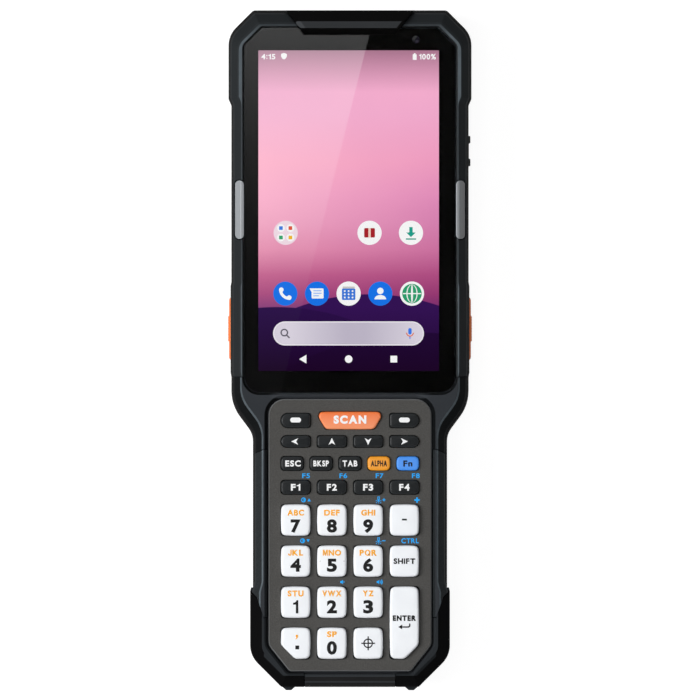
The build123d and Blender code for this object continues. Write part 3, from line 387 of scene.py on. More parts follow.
def boot_rubber():
    """Matt black rubber whose flat lip, and the slopes that face the keypad, are painted charcoal as lit
    faces.
    """
    key = colours()
    material = by_tilt("boot_rubber", key.rubber, key.rubber, key.rubber_flat, 27.0 * MM,
                       roughness=0.62, specular=0.01, grain_size=0.18, wear=0.3)
    tree = material.node_tree
    low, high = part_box("keypad_plate")
    reach, soft = 1.3 * MM, 0.05 * MM
    across = maths("ABSOLUTE", axis(tree, "X"))
    # painted light: the slopes near the keypad get the lighter lip colour
    inner = times(spread(across, high.x + reach, high.x + reach + soft, 1.0, 0.0),
                  spread(axis(tree, "Y"), low.y - reach - soft, low.y - reach),
                  spread(axis(tree, "Z"), 26.5 * MM, 26.9 * MM))
    return paint_over(material, inner, key.rubber_flat)


def cover_rubber():
    """Rubber of the port cover: bands of charcoal over a black foot."""
    key = colours()
    material = moulded("cover_rubber", key.rubber, key.rubber_line, 0.6, 0.07, 0.18, wear=0.3)
    height, soft = axis(material.node_tree, "Z"), 0.08
    for low, high, shade, share in COVER_BANDS:
        ends = [end * MM for end in (low - soft, low + soft, high - soft, high + soft)]
        paint_over(material, between(height, *ends), scaled(getattr(key, shade), share))
    return material


def hood_plastic():
    """Black plastic whose flat top strip is painted charcoal as lit from above, with a painted highlight on
    its left end and painted shade on its right end.
    """
    key = colours()
    material = by_tilt("hood_plastic", key.hood, key.hood, key.hood_strip, 30.0 * MM,
                       roughness=0.5, specular=0.01, wear=0.35)
    tree = material.node_tree
    top = times(flat_share(tree), spread(axis(tree, "Z"), 28.9 * MM, 29.0 * MM))
    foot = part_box("scan_hood")[1].y - 5.4 * MM
    over_foot = maths("SUBTRACT", axis(tree, "Y"), foot)
    # painted highlight on the strip's left end and painted shade on its right end
    for side, start, slant, shade in ((-1.0, 13.2, 0.68, scaled(key.hood_strip, 1.8)),
                                      (1.0, 13.7, 0.79, key.hood)):
        reach = maths("SUBTRACT", times(axis(tree, "X"), side), times(over_foot, slant))
        end = spread(reach, (start - 0.05) * MM, (start + 0.05) * MM)
        paint_over(material, times(end, top), shade)
    return material


def plate_plastic():
    """Brown grey plate with fine pepper and salt flecks, and a painted highlight on its chamfers and edges.
    """
    material, tree, shader = new_material("plate_plastic")
    base = colours().plate
    ground = clouded(tree, 12 * MM, base, 0.92, 1.08)
    pepper = spread(noise(tree, 0.34 * MM), 0.44, 0.62, 0.0, 0.35)
    ground = blend(pepper, ground, scaled(base, 0.55))
    salt = spread(noise(tree, 0.3 * MM, 1.0), 0.56, 0.7, 0.0, 0.35)
    ground = blend(salt, ground, scaled(base, 1.9))
    # painted highlight: the plate's chamfers get a light grey
    bevel = between(rise(tree), 0.5, 0.6, 0.8, 0.9)
    ground = blend(times(bevel, 0.8), ground, linear(0x77797B))
    # painted highlight on the plate's edges
    edges = times(edge_share(tree, 0.2 * MM), 0.35)
    dress(shader, colour=blend(edges, ground, scaled(base, 2.0)), roughness=0.52, specular=0.12)
    relief(shader, noise(tree, 0.22 * MM, 3.0), 0.004 * MM, 0.15 * MM)
    return material


def trigger_orange():
    """Orange rubber with fine upright ribs, and edges painted paler for wear and a painted highlight."""
    material, tree, shader = new_material("trigger_orange")
    ribs = add_node(tree, "TexWave", {"Vector": place(tree), "Scale": 0.9 / MM / math.tau,
                                      "Distortion": 0.0}, bands_direction="Y")
    ground = clouded(tree, 3 * MM, colours().trigger, 0.9, 1.08, 3.0)
    # paler edges: partly wear, partly a painted highlight
    worn_and_lit_rim = times(edge_share(tree, 0.3 * MM), 0.35)
    dress(shader, colour=blend(worn_and_lit_rim, ground, (1.0, 0.5, 0.3)), roughness=0.42)
    relief(shader, ribs.outputs["Fac"], 0.03 * MM, 0.3 * MM)
    return material


def key_plastic(name, roughness, coat, foot=None):
    """A key's smooth plastic; the SCAN key is paler towards its foot."""
    material, tree, shader = new_material(name)
    ground = clouded(tree, 4 * MM, getattr(colours(), name), 0.97, 1.03)
    if foot:
        low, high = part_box("key_scan")
        ground = blend(spread(axis(tree, "Y"), low.y + 0.6 * MM, high.y - 0.6 * MM), foot, ground)
    fine = noise(tree, 0.8 * MM, 3.0)
    dress(shader, colour=ground, coat=coat, coat_roughness=0.25, specular=0.25,
          roughness=spread(fine, 0.3, 0.7, roughness - 0.04, roughness + 0.04))
    relief(shader, noise(tree, 0.3 * MM, 3.0), 0.003 * MM)
    return material


def light_pipe():
    """Frosted light bar: a painted highlight on its rim, and painted shade towards the case's right side."""
    material, tree, shader = new_material("light_pipe")
    ground = clouded(tree, 1.5 * MM, colours().light_bar, 0.9, 1.05, 3.0)
    # painted highlight on the rim
    ground = blend(edge_share(tree, 0.45 * MM, 0.25), ground, colours().light_bar_highlight)
    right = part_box("light_bars")[1].x
    # painted shade towards the case's right side
    fade = spread(axis(tree, "X"), right - 2.6 * MM, right - 0.2 * MM, 1.0, 0.35)
    dress(shader, colour=tinted(ground, blend(fade, BLACK, WHITE)), roughness=0.3, coat=0.2,
          normal=soft_normal(tree, 0.45 * MM))
    return material


# ---------------------------------------------------------------- materials of glass, metal and the rest
def cover_glass():
    """Clear cover glass with faint smears."""
    material, tree, shader = new_material("cover_glass")
    smears = spread(noise(tree, 14 * MM, 4.0), 0.4, 0.7)
    dress(shader, colour=blend(smears, (0.985, 0.99, 0.99), (0.97, 0.975, 0.98)), clear=1.0, index=1.5,
          roughness=0.0)
    return material


def scan_glass():
    """Dark red window of the scanner."""
    material, tree, shader = new_material("scan_glass")
    ground = blend(noise(tree, 6 * MM), (0.012, 0.001, 0.002), (0.03, 0.003, 0.004))
    dress(shader, colour=ground, roughness=0.04, coat=0.6)
    return material


def metal(name, colour, roughness, brush):
    """Bare metal with a fine brushed grain."""
    material, tree, shader = new_material(name)
    stretch = add_node(tree, "Mapping", {"Scale": brush, "Vector": place(tree)})
    lines = noise(tree, 0.2 * MM, 3.0, stretch.outputs["Vector"])
    dress(shader, colour=blend(lines, scaled(colour, 0.75), scaled(colour, 1.1)), metallic=1.0,
          roughness=spread(lines, 0.3, 0.7, roughness - 0.06, roughness + 0.08))
    relief(shader, lines, 0.004 * MM, 0.12 * MM)
    return material


def circuit_board():
    """Green solder mask with paler tracks."""
    material, tree, shader = new_material("circuit_board")
    cells = add_node(tree, "TexVoronoi", distance="MANHATTAN", feature="F2")
    feed(1 / (2.4 * MM), cells.inputs["Scale"])
    feed(place(tree), cells.inputs["Vector"])
    tracks = spread(cells.outputs["Distance"], 0.55, 0.6)
    board = colours().board
    dress(shader, colour=blend(tracks, scaled(board, 0.8), scaled(board, 1.6)), roughness=0.3)
    return material


def silicone():
    """Soft translucent silicone."""
    material, tree, shader = new_material("silicone")
    dress(shader, colour=clouded(tree, 5 * MM, colours().silicone, 0.85, 1.1), roughness=0.55, soft=0.15,
          soft_depth=1.0 * MM)
    return material


def lens_coating(name, middle, radius):
    """Coated lens: nearly black, with a painted violet glint towards one side."""
    material, tree, shader = new_material(name)
    # painted glint: a violet spot off the middle, towards one side
    across = maths("SUBTRACT", axis(tree, "X"), middle.x + 0.3 * radius)
    along = maths("SUBTRACT", axis(tree, "Y"), middle.y - 0.35 * radius)
    reach = maths("SQRT", maths("ADD", times(across, across), times(along, along)))
    sheen = spread(reach, 0.0, 0.75 * radius, 1.0, 0.0)
    cloud = spread(noise(tree, 0.6 * radius), 0.3, 0.7, 0.8, 1.0)
    dress(shader, colour=blend(times(sheen, cloud), (0.009, 0.008, 0.014), (0.12, 0.11, 0.16)),
          roughness=0.06, coat=0.5)
    return material


def flash_glass():
    """Ribbed pale plastic over the flash."""
    material, tree, shader = new_material("flash_glass")
    rings = add_node(tree, "TexWave", {"Vector": place(tree), "Scale": 1.2 / MM}, wave_type="RINGS",
                     rings_direction="Z")
    dress(shader, colour=blend(rings.outputs["Fac"], (0.62, 0.56, 0.3), (0.85, 0.82, 0.66)),
          roughness=0.12)
    return material


def ink(name, colour):
    """Printed ink, slightly uneven."""
    material, tree, shader = new_material(name)
    dress(shader, colour=clouded(tree, 0.5 * MM, colour, 0.94, 1.04), roughness=0.5, specular=0.25)
    return material


def lit(shader, colour):
    """Makes a surface glow with a colour and reflect nothing."""
    dress(shader, colour=BLACK, specular=0.0, roughness=1.0, glow=1.1, glow_colour=colour)


def glow(name, colour):
    """A lit part of the picture, a little darker towards its foot."""
    material, tree, shader = new_material(name)
    lit(shader, blend(spread(axis(tree, "Y"), 0.0, 1.0), scaled(colour, 0.94), colour))
    return material


def search_shade(middle):
    """The search bar's fill, paler towards both ends."""
    material, tree, shader = new_material("search_fill")
    reach = maths("ABSOLUTE", maths("SUBTRACT", axis(tree, "X"), middle))
    lit(shader, blend(spread(reach, 3 * MM, 19 * MM), linear(0xBAB2C3), linear(0xD6CFDB)))
    return material


def case_finishes():
    """Makes a material for every material slot of the frame, and the inks."""
    for make in (rear_shell, battery_case, front_frame, bezel_plastic, neck_plastic, boot_rubber,
                 cover_rubber, hood_plastic, plate_plastic, trigger_orange, light_pipe, cover_glass,
                 scan_glass, circuit_board, silicone):
        make()
    steel, blackened = colours().steel, (0.02, 0.02, 0.022)
    for name, colour, roughness, brush in (
            ("engine_metal", scaled(steel, 0.5), 0.4, (1.0, 6.0, 1.0)),
            ("spring_steel", steel, 0.25, (1.0, 1.0, 1.0)),
            ("screw_steel", scaled(steel, 0.45), 0.35, (4.0, 4.0, 1.0)),
            ("port_steel", steel, 0.3, (8.0, 1.0, 1.0)),
            ("camera_barrel", blackened, 0.35, (1.0, 1.0, 6.0)),
            ("screen_panel", blackened, 0.5, (1.0, 1.0, 6.0))):
        metal(name, colour, roughness, brush)
    for name, roughness, coat, foot in (
            ("key_white", 0.34, 0.15, None), ("key_dark", 0.4, 0.03, None),
            ("key_orange", 0.36, 0.05, linear(0xFB9B6C)), ("key_amber", 0.36, 0.1, None),
            ("key_blue", 0.36, 0.1, None)):
        key_plastic(name, roughness, coat, foot)
    for name in ("ink_black", "ink_white", "ink_orange", "ink_blue"):
        ink(name, getattr(colours(), name))
    ink("nib_grey", linear(0x8F9498))


# ---------------------------------------------------------------- meshes
def add_piece(name, mesh, material, body, replaced=()):
    """Puts a mesh in the scene, on its body and in place of what it stands for."""
    piece = bpy.data.objects.new(name, mesh)
    bpy.context.scene.collection.objects.link(piece)
    mesh.materials.clear()
    mesh.materials.append(material)
    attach(piece, body)
    if replaced:
        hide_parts(*replaced)


def smooth(mesh, degrees=35.0):
    """Smooth shading between faces that meet at less than an angle."""
    mesh.polygons.foreach_set("use_smooth", [True] * len(mesh.polygons))
    mesh.set_sharp_from_angle(angle=math.radians(degrees))
    return mesh


def ring_mesh(name, rings, close_low=True, close_high=True):
    """A skin through rings that have as many points each."""
    work = bmesh.new()
    rows = [[work.verts.new(point) for point in ring] for ring in rings]
    for lower, upper in zip(rows, rows[1:]):
        for step in range(len(lower)):
            after = (step + 1) % len(lower)
            work.faces.new((lower[step], lower[after], upper[after], upper[step]))
    if close_low:
        work.faces.new(rows[0][::-1])
    if close_high:
        work.faces.new(rows[-1])
    bmesh.ops.recalc_face_normals(work, faces=work.faces)
    mesh = bpy.data.meshes.new(name)
    work.to_mesh(mesh)
    work.free()
    return smooth(mesh)


def joined(name, meshes):
    """One mesh from several."""
    work = bmesh.new()
    for mesh in meshes:
        work.from_mesh(mesh)
        bpy.data.meshes.remove(mesh)
    whole = bpy.data.meshes.new(name)
    work.to_mesh(whole)
    work.free()
    return whole


def mesh_of(curve):
    """The mesh of a curve or a text, which it takes away."""
    holder = bpy.data.objects.new("holder", curve)
    mesh = bpy.data.meshes.new_from_object(holder)
    bpy.data.objects.remove(holder)
    bpy.data.curves.remove(curve)
    return mesh


def flat_mesh(name, loops, low, high):
    """A thin plate between two heights, from closed loops of x and y; inner loops are holes."""
    curve = bpy.data.curves.new(name, "CURVE")
    curve.dimensions = "2D"
    curve.fill_mode = "BOTH"
    curve.extrude = (high - low) / 2
    for loop in loops:
        spline = curve.splines.new("POLY")
        spline.points.add(len(loop) - 1)
        for point, (x, y) in zip(spline.points, loop):
            point.co = (x, y, 0.0, 1.0)
        spline.use_cyclic_u = True
    mesh = mesh_of(curve)
    mesh.transform(Matrix.Translation((0, 0, (low + high) / 2)))
    return mesh


FONT_CAPITAL = 0.682        # height of the built-in font's capitals
LETTER_GAP = 0.13


def own_glyph(letter):
    """Loops of the letters that the built-in font draws badly, with capitals 1 high."""
    if letter == ":":
        return [rectangle((0.0, low), (0.2, low + 0.2), 0.03) for low in (0.1, 0.6)]
    if letter == "1":
        return [[(0.26, 0), (0.46, 0), (0.46, 1), (0.32, 1), (0.27, 0.89), (0.18, 0.83), (0.02, 0.8),
                 (0.02, 0.66), (0.26, 0.66)]]
    if letter == "J":
        outer = arc((0.27, 0.26), 0.27, 180, 360, 14)
        inner = arc((0.27, 0.26), 0.08, 360, 180, 10)
        return [outer + [(0.54, 1), (0.35, 1)] + inner + [(0.19, 0.38), (0, 0.36)]]
    if letter == "M":
        return [[(0, 0), (0.18, 0), (0.18, 0.72), (0.35, 0), (0.51, 0), (0.68, 0.72), (0.68, 0),
                 (0.86, 0), (0.86, 1), (0.59, 1), (0.43, 0.36), (0.27, 1), (0, 1)]]
    if letter == "Q":
        rings = [oval((0.45, 0.5), 0.44, 0.52, 32), oval((0.45, 0.5), 0.23, 0.34, 32)]
        return rings + [[(0.48, 0.26), (0.6, 0.36), (0.9, 0.06), (0.78, -0.05)]]
    return None


def glyph_mesh(letter, bold):
    """One letter 1 high and 1 thick that stands on the base line."""
    loops = own_glyph(letter)
    if loops:
        parts = [flat_mesh("glyph", loops[:2], -0.5, 0.5)]
        parts += [flat_mesh("glyph", [loop], -0.5, 0.5) for loop in loops[2:]]
        return joined("glyph", parts)
    curve = bpy.data.curves.new("glyph", "FONT")
    curve.body = letter
    curve.offset = bold
    curve.extrude = 0.5
    curve.resolution_u = 5
    mesh = mesh_of(curve)
    grown = 1 / (FONT_CAPITAL + 2 * bold)
    mesh.transform(Matrix.Diagonal((grown, grown, 1.0, 1.0)) @ Matrix.Translation((0, bold, 0)))
    return mesh


def word_mesh(name, text, middle, height, low, high, width, bold):
    """Words of a capital height and a width round a middle point, between two levels."""
    pen, parts = 0.0, []
    for letter in text:
        mesh = glyph_mesh(letter, bold)
        xs = [vertex.co.x for vertex in mesh.vertices]
        mesh.transform(Matrix.Translation((pen - min(xs), 0, 0)))
        pen += max(xs) - min(xs) + LETTER_GAP
        parts.append(mesh)
    run = pen - LETTER_GAP
    word = joined(name, parts)
    word.transform(Matrix.Translation((-run / 2, -0.5, 0)))
    word.transform(Matrix.Diagonal((width / run, height, high - low, 1.0)))
    word.transform(Matrix.Translation((middle[0], middle[1], (low + high) / 2)))
    return word


# ---------------------------------------------------------------- outlines
def arc(middle, radius, start, end, count):
    """Points along an arc between two angles in degrees."""
    angles = [math.radians(start + (end - start) * step / (count - 1)) for step in range(count)]
    return [(middle[0] + radius * math.cos(a), middle[1] + radius * math.sin(a)) for a in angles]


def circle(middle, radius, count=40):
    """Points round a circle."""
    return arc(middle, radius, 0.0, 360.0 * (count - 1) / count, count)


def oval(middle, across, along, count):
    """Points round an upright oval."""
    return [(middle[0] + across * x, middle[1] + along * y) for x, y in circle((0, 0), 1.0, count)]


def placed(middle, loops):
    """Loops in millimetres about a middle in millimetres, moved to their place in metres."""
    return [[((middle[0] + x) * MM, (middle[1] + y) * MM) for x, y in loop] for loop in loops]


def rounded(corners, count=7):
    """A closed loop through anticlockwise corners of x, y and fillet radius."""
    loop = []
    for index, (x, y, radius) in enumerate(corners):
        corner = Vector((x, y))
        before = (Vector(corners[index - 1][:2]) - corner).normalized()
        after = (Vector(corners[(index + 1) % len(corners)][:2]) - corner).normalized()
        half_turn = before.angle(after) / 2
        middle = corner + (before + after).normalized() * radius / math.sin(half_turn)
        first = corner + before * radius / math.tan(half_turn)
        last = corner + after * radius / math.tan(half_turn)
        start, end = (first - middle), (last - middle)
        for step in range(count):
            way = start.lerp(end, step / (count - 1))
            loop.append(tuple(middle + way.normalized() * radius))
    return loop


def rectangle(low, high, radius):
    """A rounded rectangle between two corners."""
    return rounded([
        (low[0], low[1], radius), (high[0], low[1], radius),
        (high[0], high[1], radius), (low[0], high[1], radius)])


def evenly(loop, count):
    """The same closed loop with evenly spaced points."""
    closed = loop + loop[:1]
    spans = [math.dist(a, b) for a, b in zip(closed, closed[1:])]
    step = sum(spans) / count
    points, travelled, index = [], 0.0, 0
    for number in range(count):
        target = number * step
        while travelled + spans[index] < target:
            travelled += spans[index]
            index += 1
        share = (target - travelled) / spans[index]
        (x0, y0), (x1, y1) = closed[index], closed[index + 1]
        points.append((x0 + (x1 - x0) * share, y0 + (y1 - y0) * share))
    return points


def eased(loop, passes):
    """The loop with its kinks smoothed away."""
    for _ in range(passes):
        loop = [tuple(
            (loop[step - 1][axis] + 2 * loop[step][axis] + loop[(step + 1) % len(loop)][axis]) / 4
            for axis in (0, 1)) for step in range(len(loop))]
    return loop


def inside(loop, inset):
    """The loop moved inwards by an inset."""
    moved = []
    for step, (x, y) in enumerate(loop):
        (x0, y0), (x1, y1) = loop[step - 1], loop[(step + 1) % len(loop)]
        run = math.dist((x0, y0), (x1, y1))
        moved.append((x - (y1 - y0) / run * inset, y + (x1 - x0) / run * inset))
    return moved


def lifted(loop, height):
    """The loop's points at a height."""
    return [(x, y, height) for x, y in loop]


def lens_mesh(name, middle, radius, low, high):
    """A shallow lens that bulges from one height to another."""
    rings = []
    for angle in (0, 12, 25, 40, 55, 70, 82):
        turn = math.radians(angle)
        rings.append(lifted(circle((middle.x, middle.y), radius * math.cos(turn), 48),
                            low + (high - low) * math.sin(turn)))
    return ring_mesh(name, rings)


# ---------------------------------------------------------------- side buttons
def eased_step(value, low, high):
    """0 up to a value, 1 from another, and a soft rise between them."""
    share = min(max((value - low) / (high - low), 0.0), 1.0)
    return share * share * (3 - 2 * share)


def trigger_dip(away, half):
    """How far a trigger's face lies under its highest point, at a distance from its middle."""
    crown = 3.45 * MM
    dip = 0.3 * MM * eased_step(away, crown, crown + 0.6 * MM)
    rib = 0.05 * MM * (0.5 - 0.5 * math.cos(math.tau * away / (0.86 * MM)))
    return dip + rib * (1 - eased_step(away, crown - 0.4 * MM, crown)) + rounded_end(away, half, MM, 0.5 * MM)


def rocker_dip(away, half):
    """How far the rocker's face lies under its highest point, at a distance from its middle."""
    valley = half - 2.4 * MM
    dip = 0.45 * MM * (1 - eased_step(away, valley, valley + 0.4 * MM))
    return dip + rounded_end(away, half, 0.4 * MM, 0.15 * MM)


def rounded_end(away, half, run, drop):
    """The fall of a rounded end over its last stretch."""
    share = min(max((away - half + run) / run, 0.0), 1.0)
    return drop * (1 - math.sqrt(1 - share * share))


def side_button(name, dip_at, corner):
    """A moulded button in the case's side: its ribbed cap, and the flange behind the wall."""
    low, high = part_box(name)
    flange = sizes().button_flange
    side = math.copysign(1.0, low.x)
    inner, outer = sorted((abs(low.x), abs(high.x)))
    middle, half = (low.y + high.y) / 2, (high.y - low.y) / 2 - flange
    foot, head = low.z + flange, high.z - flange
    rings, steps = [], 144
    for step in range(steps + 1):
        away = half * (2 * step / steps - 1)
        reach = outer - dip_at(abs(away), half)
        section = arc((reach - corner, foot + corner), corner, -90, 0, 8)
        section += arc((reach - corner, head - corner), corner, 0, 90, 8)
        section = [(inner, foot)] + section + [(inner, head)]
        rings.append([(side * x, middle + away, z) for x, z in section])
    cap = ring_mesh(name + "_form", rings)
    thick = sizes().button_flange_thickness
    plate = [[(side * x, y, z) for y, z in rectangle((low.y, low.z), (high.y, high.z), 0.4 * MM)]
             for x in (inner, inner + thick)]
    return joined(name + "_form", [cap, ring_mesh(name + "_flange", plate)])


# ---------------------------------------------------------------- keys
KEY_POINTS = 96
DARK_KEYS = ("soft_left", "soft_right", "left", "up", "down", "right", "escape", "backspace", "tab",
             "f1", "f2", "f3", "f4")
COLOURED_KEYS = {"scan": "key_orange", "alpha": "key_amber", "function": "key_blue"}
KEY_NAMES = [name[4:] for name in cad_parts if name.startswith("key_")]


def key_box(name):
    """The lowest and highest corner of a key's cap, without its hidden flange."""
    low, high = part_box("key_" + name)
    flange = Vector((sizes().key_flange, sizes().key_flange, 0.0))
    return low + flange, high - flange


def key_middle(name):
    """The middle of a key."""
    low, high = key_box(name)
    return (low + high) / 2


def key_corners(name, low, high):
    """A key's corners, with the radius of each."""
    corner, tight = 1.25 * MM, 0.8 * MM
    end = 0.49 * (high.y - low.y)
    left, right = corner, corner
    if name in ("soft_left", "left"):
        left, right = end, tight
    elif name in ("soft_right", "right"):
        left, right = tight, end
    elif name in ("up", "down"):
        left, right = tight, tight
    if name == "scan":
        widest = high.y - 0.28 * (high.y - low.y)
        foot, lid = 2.25 * MM, 0.6 * MM
        return [
            (low.x + foot, low.y, 0.9 * MM), (high.x - foot, low.y, 0.9 * MM),
            (high.x, widest, 0.5 * MM), (high.x - lid, high.y, 0.5 * MM),
            (low.x + lid, high.y, 0.5 * MM), (low.x, widest, 0.5 * MM)]
    cut = 4.25 * MM
    if name == "enter":
        return [
            (low.x, low.y, corner), (high.x - cut, low.y, corner), (high.x, low.y + cut, corner),
            (high.x, high.y, corner), (low.x, high.y, corner)]
    if name == "point":
        return [
            (low.x + cut, low.y, corner), (high.x, low.y, corner), (high.x, high.y, corner),
            (low.x, high.y, corner), (low.x, low.y + cut, corner)]
    return [(low.x, low.y, left), (high.x, low.y, right), (high.x, high.y, right), (low.x, high.y, left)]


def bowed(loop, low, high, bow):
    """The loop pulled in towards its corners, so that its sides bulge in their middle."""
    middle, half = (low + high) / 2, (high - low) / 2
    points = []
    for x, y in loop:
        across, along = (x - middle.x) / half.x, (y - middle.y) / half.y
        points.append((x - math.copysign(bow * along ** 2, across) * abs(across) ** 6,
                       y - math.copysign(bow * across ** 2, along) * abs(along) ** 6))
    return points


def key_mesh(name):
    """A key cap: upright skirt, rounded shoulder and a shallow dome."""
    low, high = key_box(name)
    white = name not in DARK_KEYS and name not in COLOURED_KEYS
    loop = evenly(rounded(key_corners(name, low, high)), KEY_POINTS)
    loop = eased(bowed(loop, low, high, sizes().key_bow if white else 0.3 * sizes().key_bow), 2)
    shoulder = 0.75 * MM if white else 0.6 * MM
    dome = sizes().key_dome
    rim = high.z - dome
    rings = [lifted(loop, low.z + 0.6 * MM)]
    for step in range(7):
        turn = math.radians(90 * step / 6)
        rings.append(lifted(inside(loop, shoulder * (1 - math.cos(turn))),
                            rim - shoulder * (1 - math.sin(turn))))
    edge = rings[-1]
    middle = (low + high) / 2
    for step in range(1, 8):
        share = step / 8
        height = rim + dome * (1 - (1 - share) ** 2)
        rings.append([(x + (middle.x - x) * share, y + (middle.y - y) * share, height)
                      for x, y, z in edge])
    return ring_mesh("key_" + name + "_cap", rings)


def key_finish(name):
    """The material slot of a key."""
    if name in COLOURED_KEYS:
        return COLOURED_KEYS[name]
    return "key_dark" if name in DARK_KEYS else "key_white"


# ---------------------------------------------------------------- legends
LETTERS = (                 # digit, the letters over it and their width
    ("7", "ABC", 4.9), ("8", "DEF", 4.6), ("9", "GHI", 4.2), ("4", "JKL", 4.4), ("5", "MNO", 5.4),
    ("6", "PQR", 5.1), ("1", "STU", 4.7), ("2", "VWX", 5.7), ("3", "YZ", 3.2), ("0", "SP", 2.9),
)
ROW_SHIFTS = ((2.2, 1.75), (2.5, 1.2), (2.6, 1.35), (2.7, 1.35))    # letters up and digit down
DIGIT_HEIGHT, DIGIT_WIDTH = 3.9, 2.95
DIGIT_WIDTHS = {"1": 1.55, "4": 3.1}
KEY_WORDS = {               # text, height, width and ink
    "escape": ("ESC", 1.8, 4.6, "ink_white"),
    "backspace": ("BKSP", 1.75, 4.6, "ink_white"),
    "tab": ("TAB", 1.8, 4.4, "ink_white"),
    "alpha": ("ALPHA", 1.75, 4.8, "ink_black"),
    "function": ("Fn", 1.8, 2.7, "ink_black"),
    "f1": ("F1", 2.0, 2.8, "ink_white"),
    "f2": ("F2", 2.0, 3.0, "ink_white"),
    "f3": ("F3", 2.0, 3.0, "ink_white"),
    "f4": ("F4", 2.0, 3.1, "ink_white"),
    "scan": ("SCAN", 2.45, 9.7, "ink_white"),
    "shift": ("SHIFT", 1.65, 6.4, "ink_black"),
    "enter": ("ENTER", 1.65, 6.9, "ink_black"),
}
WORD_SHIFTS = {"escape": (0.25, 0.0), "scan": (0.0, 0.27), "enter": (0.0, 1.37)}
INK_DEPTH = 0.05 * MM       # how far ink reaches under the surface that it lies on


def ink_levels(name):
    """The two levels between which ink lies on a key."""
    top = key_box(name)[1].z
    return top - sizes().key_dome - INK_DEPTH, top + sizes().legend_proud


def print_mesh(name, part, mesh, finish):
    """Puts a printed word or sign on its key."""
    add_piece("legend_" + name + "_" + part, mesh, finish_of(finish), "key_" + name)


def print_word(name, text, shift, height, finish, width, bold=0.04, part="word"):
    """Prints words on a key, shifted from its middle."""
    middle = key_middle(name)
    spot = (middle.x + shift[0] * MM, middle.y + shift[1] * MM)
    mesh = word_mesh("word", text, spot, height * MM, *ink_levels(name), width * MM, bold)
    print_mesh(name, part, mesh, finish)


def print_shape(name, loops, finish, part="sign"):
    """Prints a flat shape on a key, from loops about its middle in millimetres."""
    mesh = flat_mesh("sign", placed(key_middle(name) / MM, loops), *ink_levels(name))
    print_mesh(name, part, mesh, finish)


def arrow_head(turn):
    """A notched arrow head that points up, turned anticlockwise by an angle in degrees."""
    points = ((0.0, 1.05), (-0.98, -1.0), (0.0, -0.42), (0.98, -1.0))
    angle = math.radians(turn)
    return [(x * math.cos(angle) - y * math.sin(angle), x * math.sin(angle) + y * math.cos(angle))
            for x, y in points]


def bar(start, end, width):
    """A straight bar between two points."""
    start, end = Vector(start), Vector(end)
    way = (end - start).normalized() * width / 2
    across = Vector((-way.y, way.x))
    return [tuple(point) for point in (start + across, start - across, end - across, end + across)]


def cross(reach, half):
    """A plus sign, with arms of a reach and of a half width."""
    arm = ((half, reach), (-half, reach), (-half, half))
    return [(x * cos - y * sin, x * sin + y * cos)
            for cos, sin in ((1, 0), (0, 1), (-1, 0), (0, -1)) for x, y in arm]


def target_loops():
    """A ring, and a cross of two bars over it."""
    ring, arm, line = 1.25, 2.05, 0.36
    return [[circle((0, 0), ring + line / 2), circle((0, 0), ring - line / 2)],
            [bar((-arm, 0), (arm, 0), line)], [bar((0, -arm), (0, arm), line)]]


def return_loop():
    """The hooked arrow of the ENTER key."""
    line, hook, shaft, barb = 0.2, 0.66, -1.25, 0.7
    head_x, head_end, right = -1.83, -0.65, 1.78
    bend = (right - hook, shaft + hook - line)
    outer = arc(bend, hook, -90, 0, 7)
    inner = arc(bend, hook - 2 * line, 0, -90, 7)
    stem = [(right, -0.23), (right - 2 * line, -0.23)]
    return ([(head_x, shaft), (head_end, shaft - barb), (head_end, shaft - line)] + outer + stem + inner
            + [(head_end, shaft + line), (head_end, shaft + barb)])


# ---------------------------------------------------------------- picture
SNOW, AZURE = 0xFAFAFA, 0x1A73E8
SKY = (                     # height in the picture and colour of the sky there
    (0.18, 0x6E306E), (0.24, 0x9F4276), (0.3, 0xB85886), (0.38, 0xD881A6), (0.46, 0xE393B6),
    (0.55, 0xEE9EC0), (0.65, 0xF5A6C3), (0.8, 0xF2ABCC),
)
HILLS = (                   # middle and radius as shares of the picture, and colour
    ((0.62, -0.42), 0.66, 0x331352), ((0.1, -0.5), 0.7, 0x2B1048), ((0.9, -0.72), 0.84, 0x240C3C),
)
SHEEN_SLANT = 0.2478        # how far the sheen's edge moves across for its way along
SHEEN_EDGE = -17.6 * MM
SIGN_DISC = 3.6


def picture_box():
    """The lowest and highest corner of the lit picture."""
    middle, half = sizes().picture_shift, sizes().picture_width / 2
    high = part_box("display_glass")[1].y - sizes().picture_drop
    return (middle - half, high - sizes().picture_height), (middle + half, high)


def under_glass(depth):
    """A level under the cover glass, for a depth in hundredths of a millimetre."""
    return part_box("display_glass")[0].z - depth * 0.01 * MM


def sheen_line(tree):
    """How far a point lies to the right of the sheen's slanting edge line."""
    return maths("SUBTRACT", axis(tree, "X"), times(axis(tree, "Y"), SHEEN_SLANT))


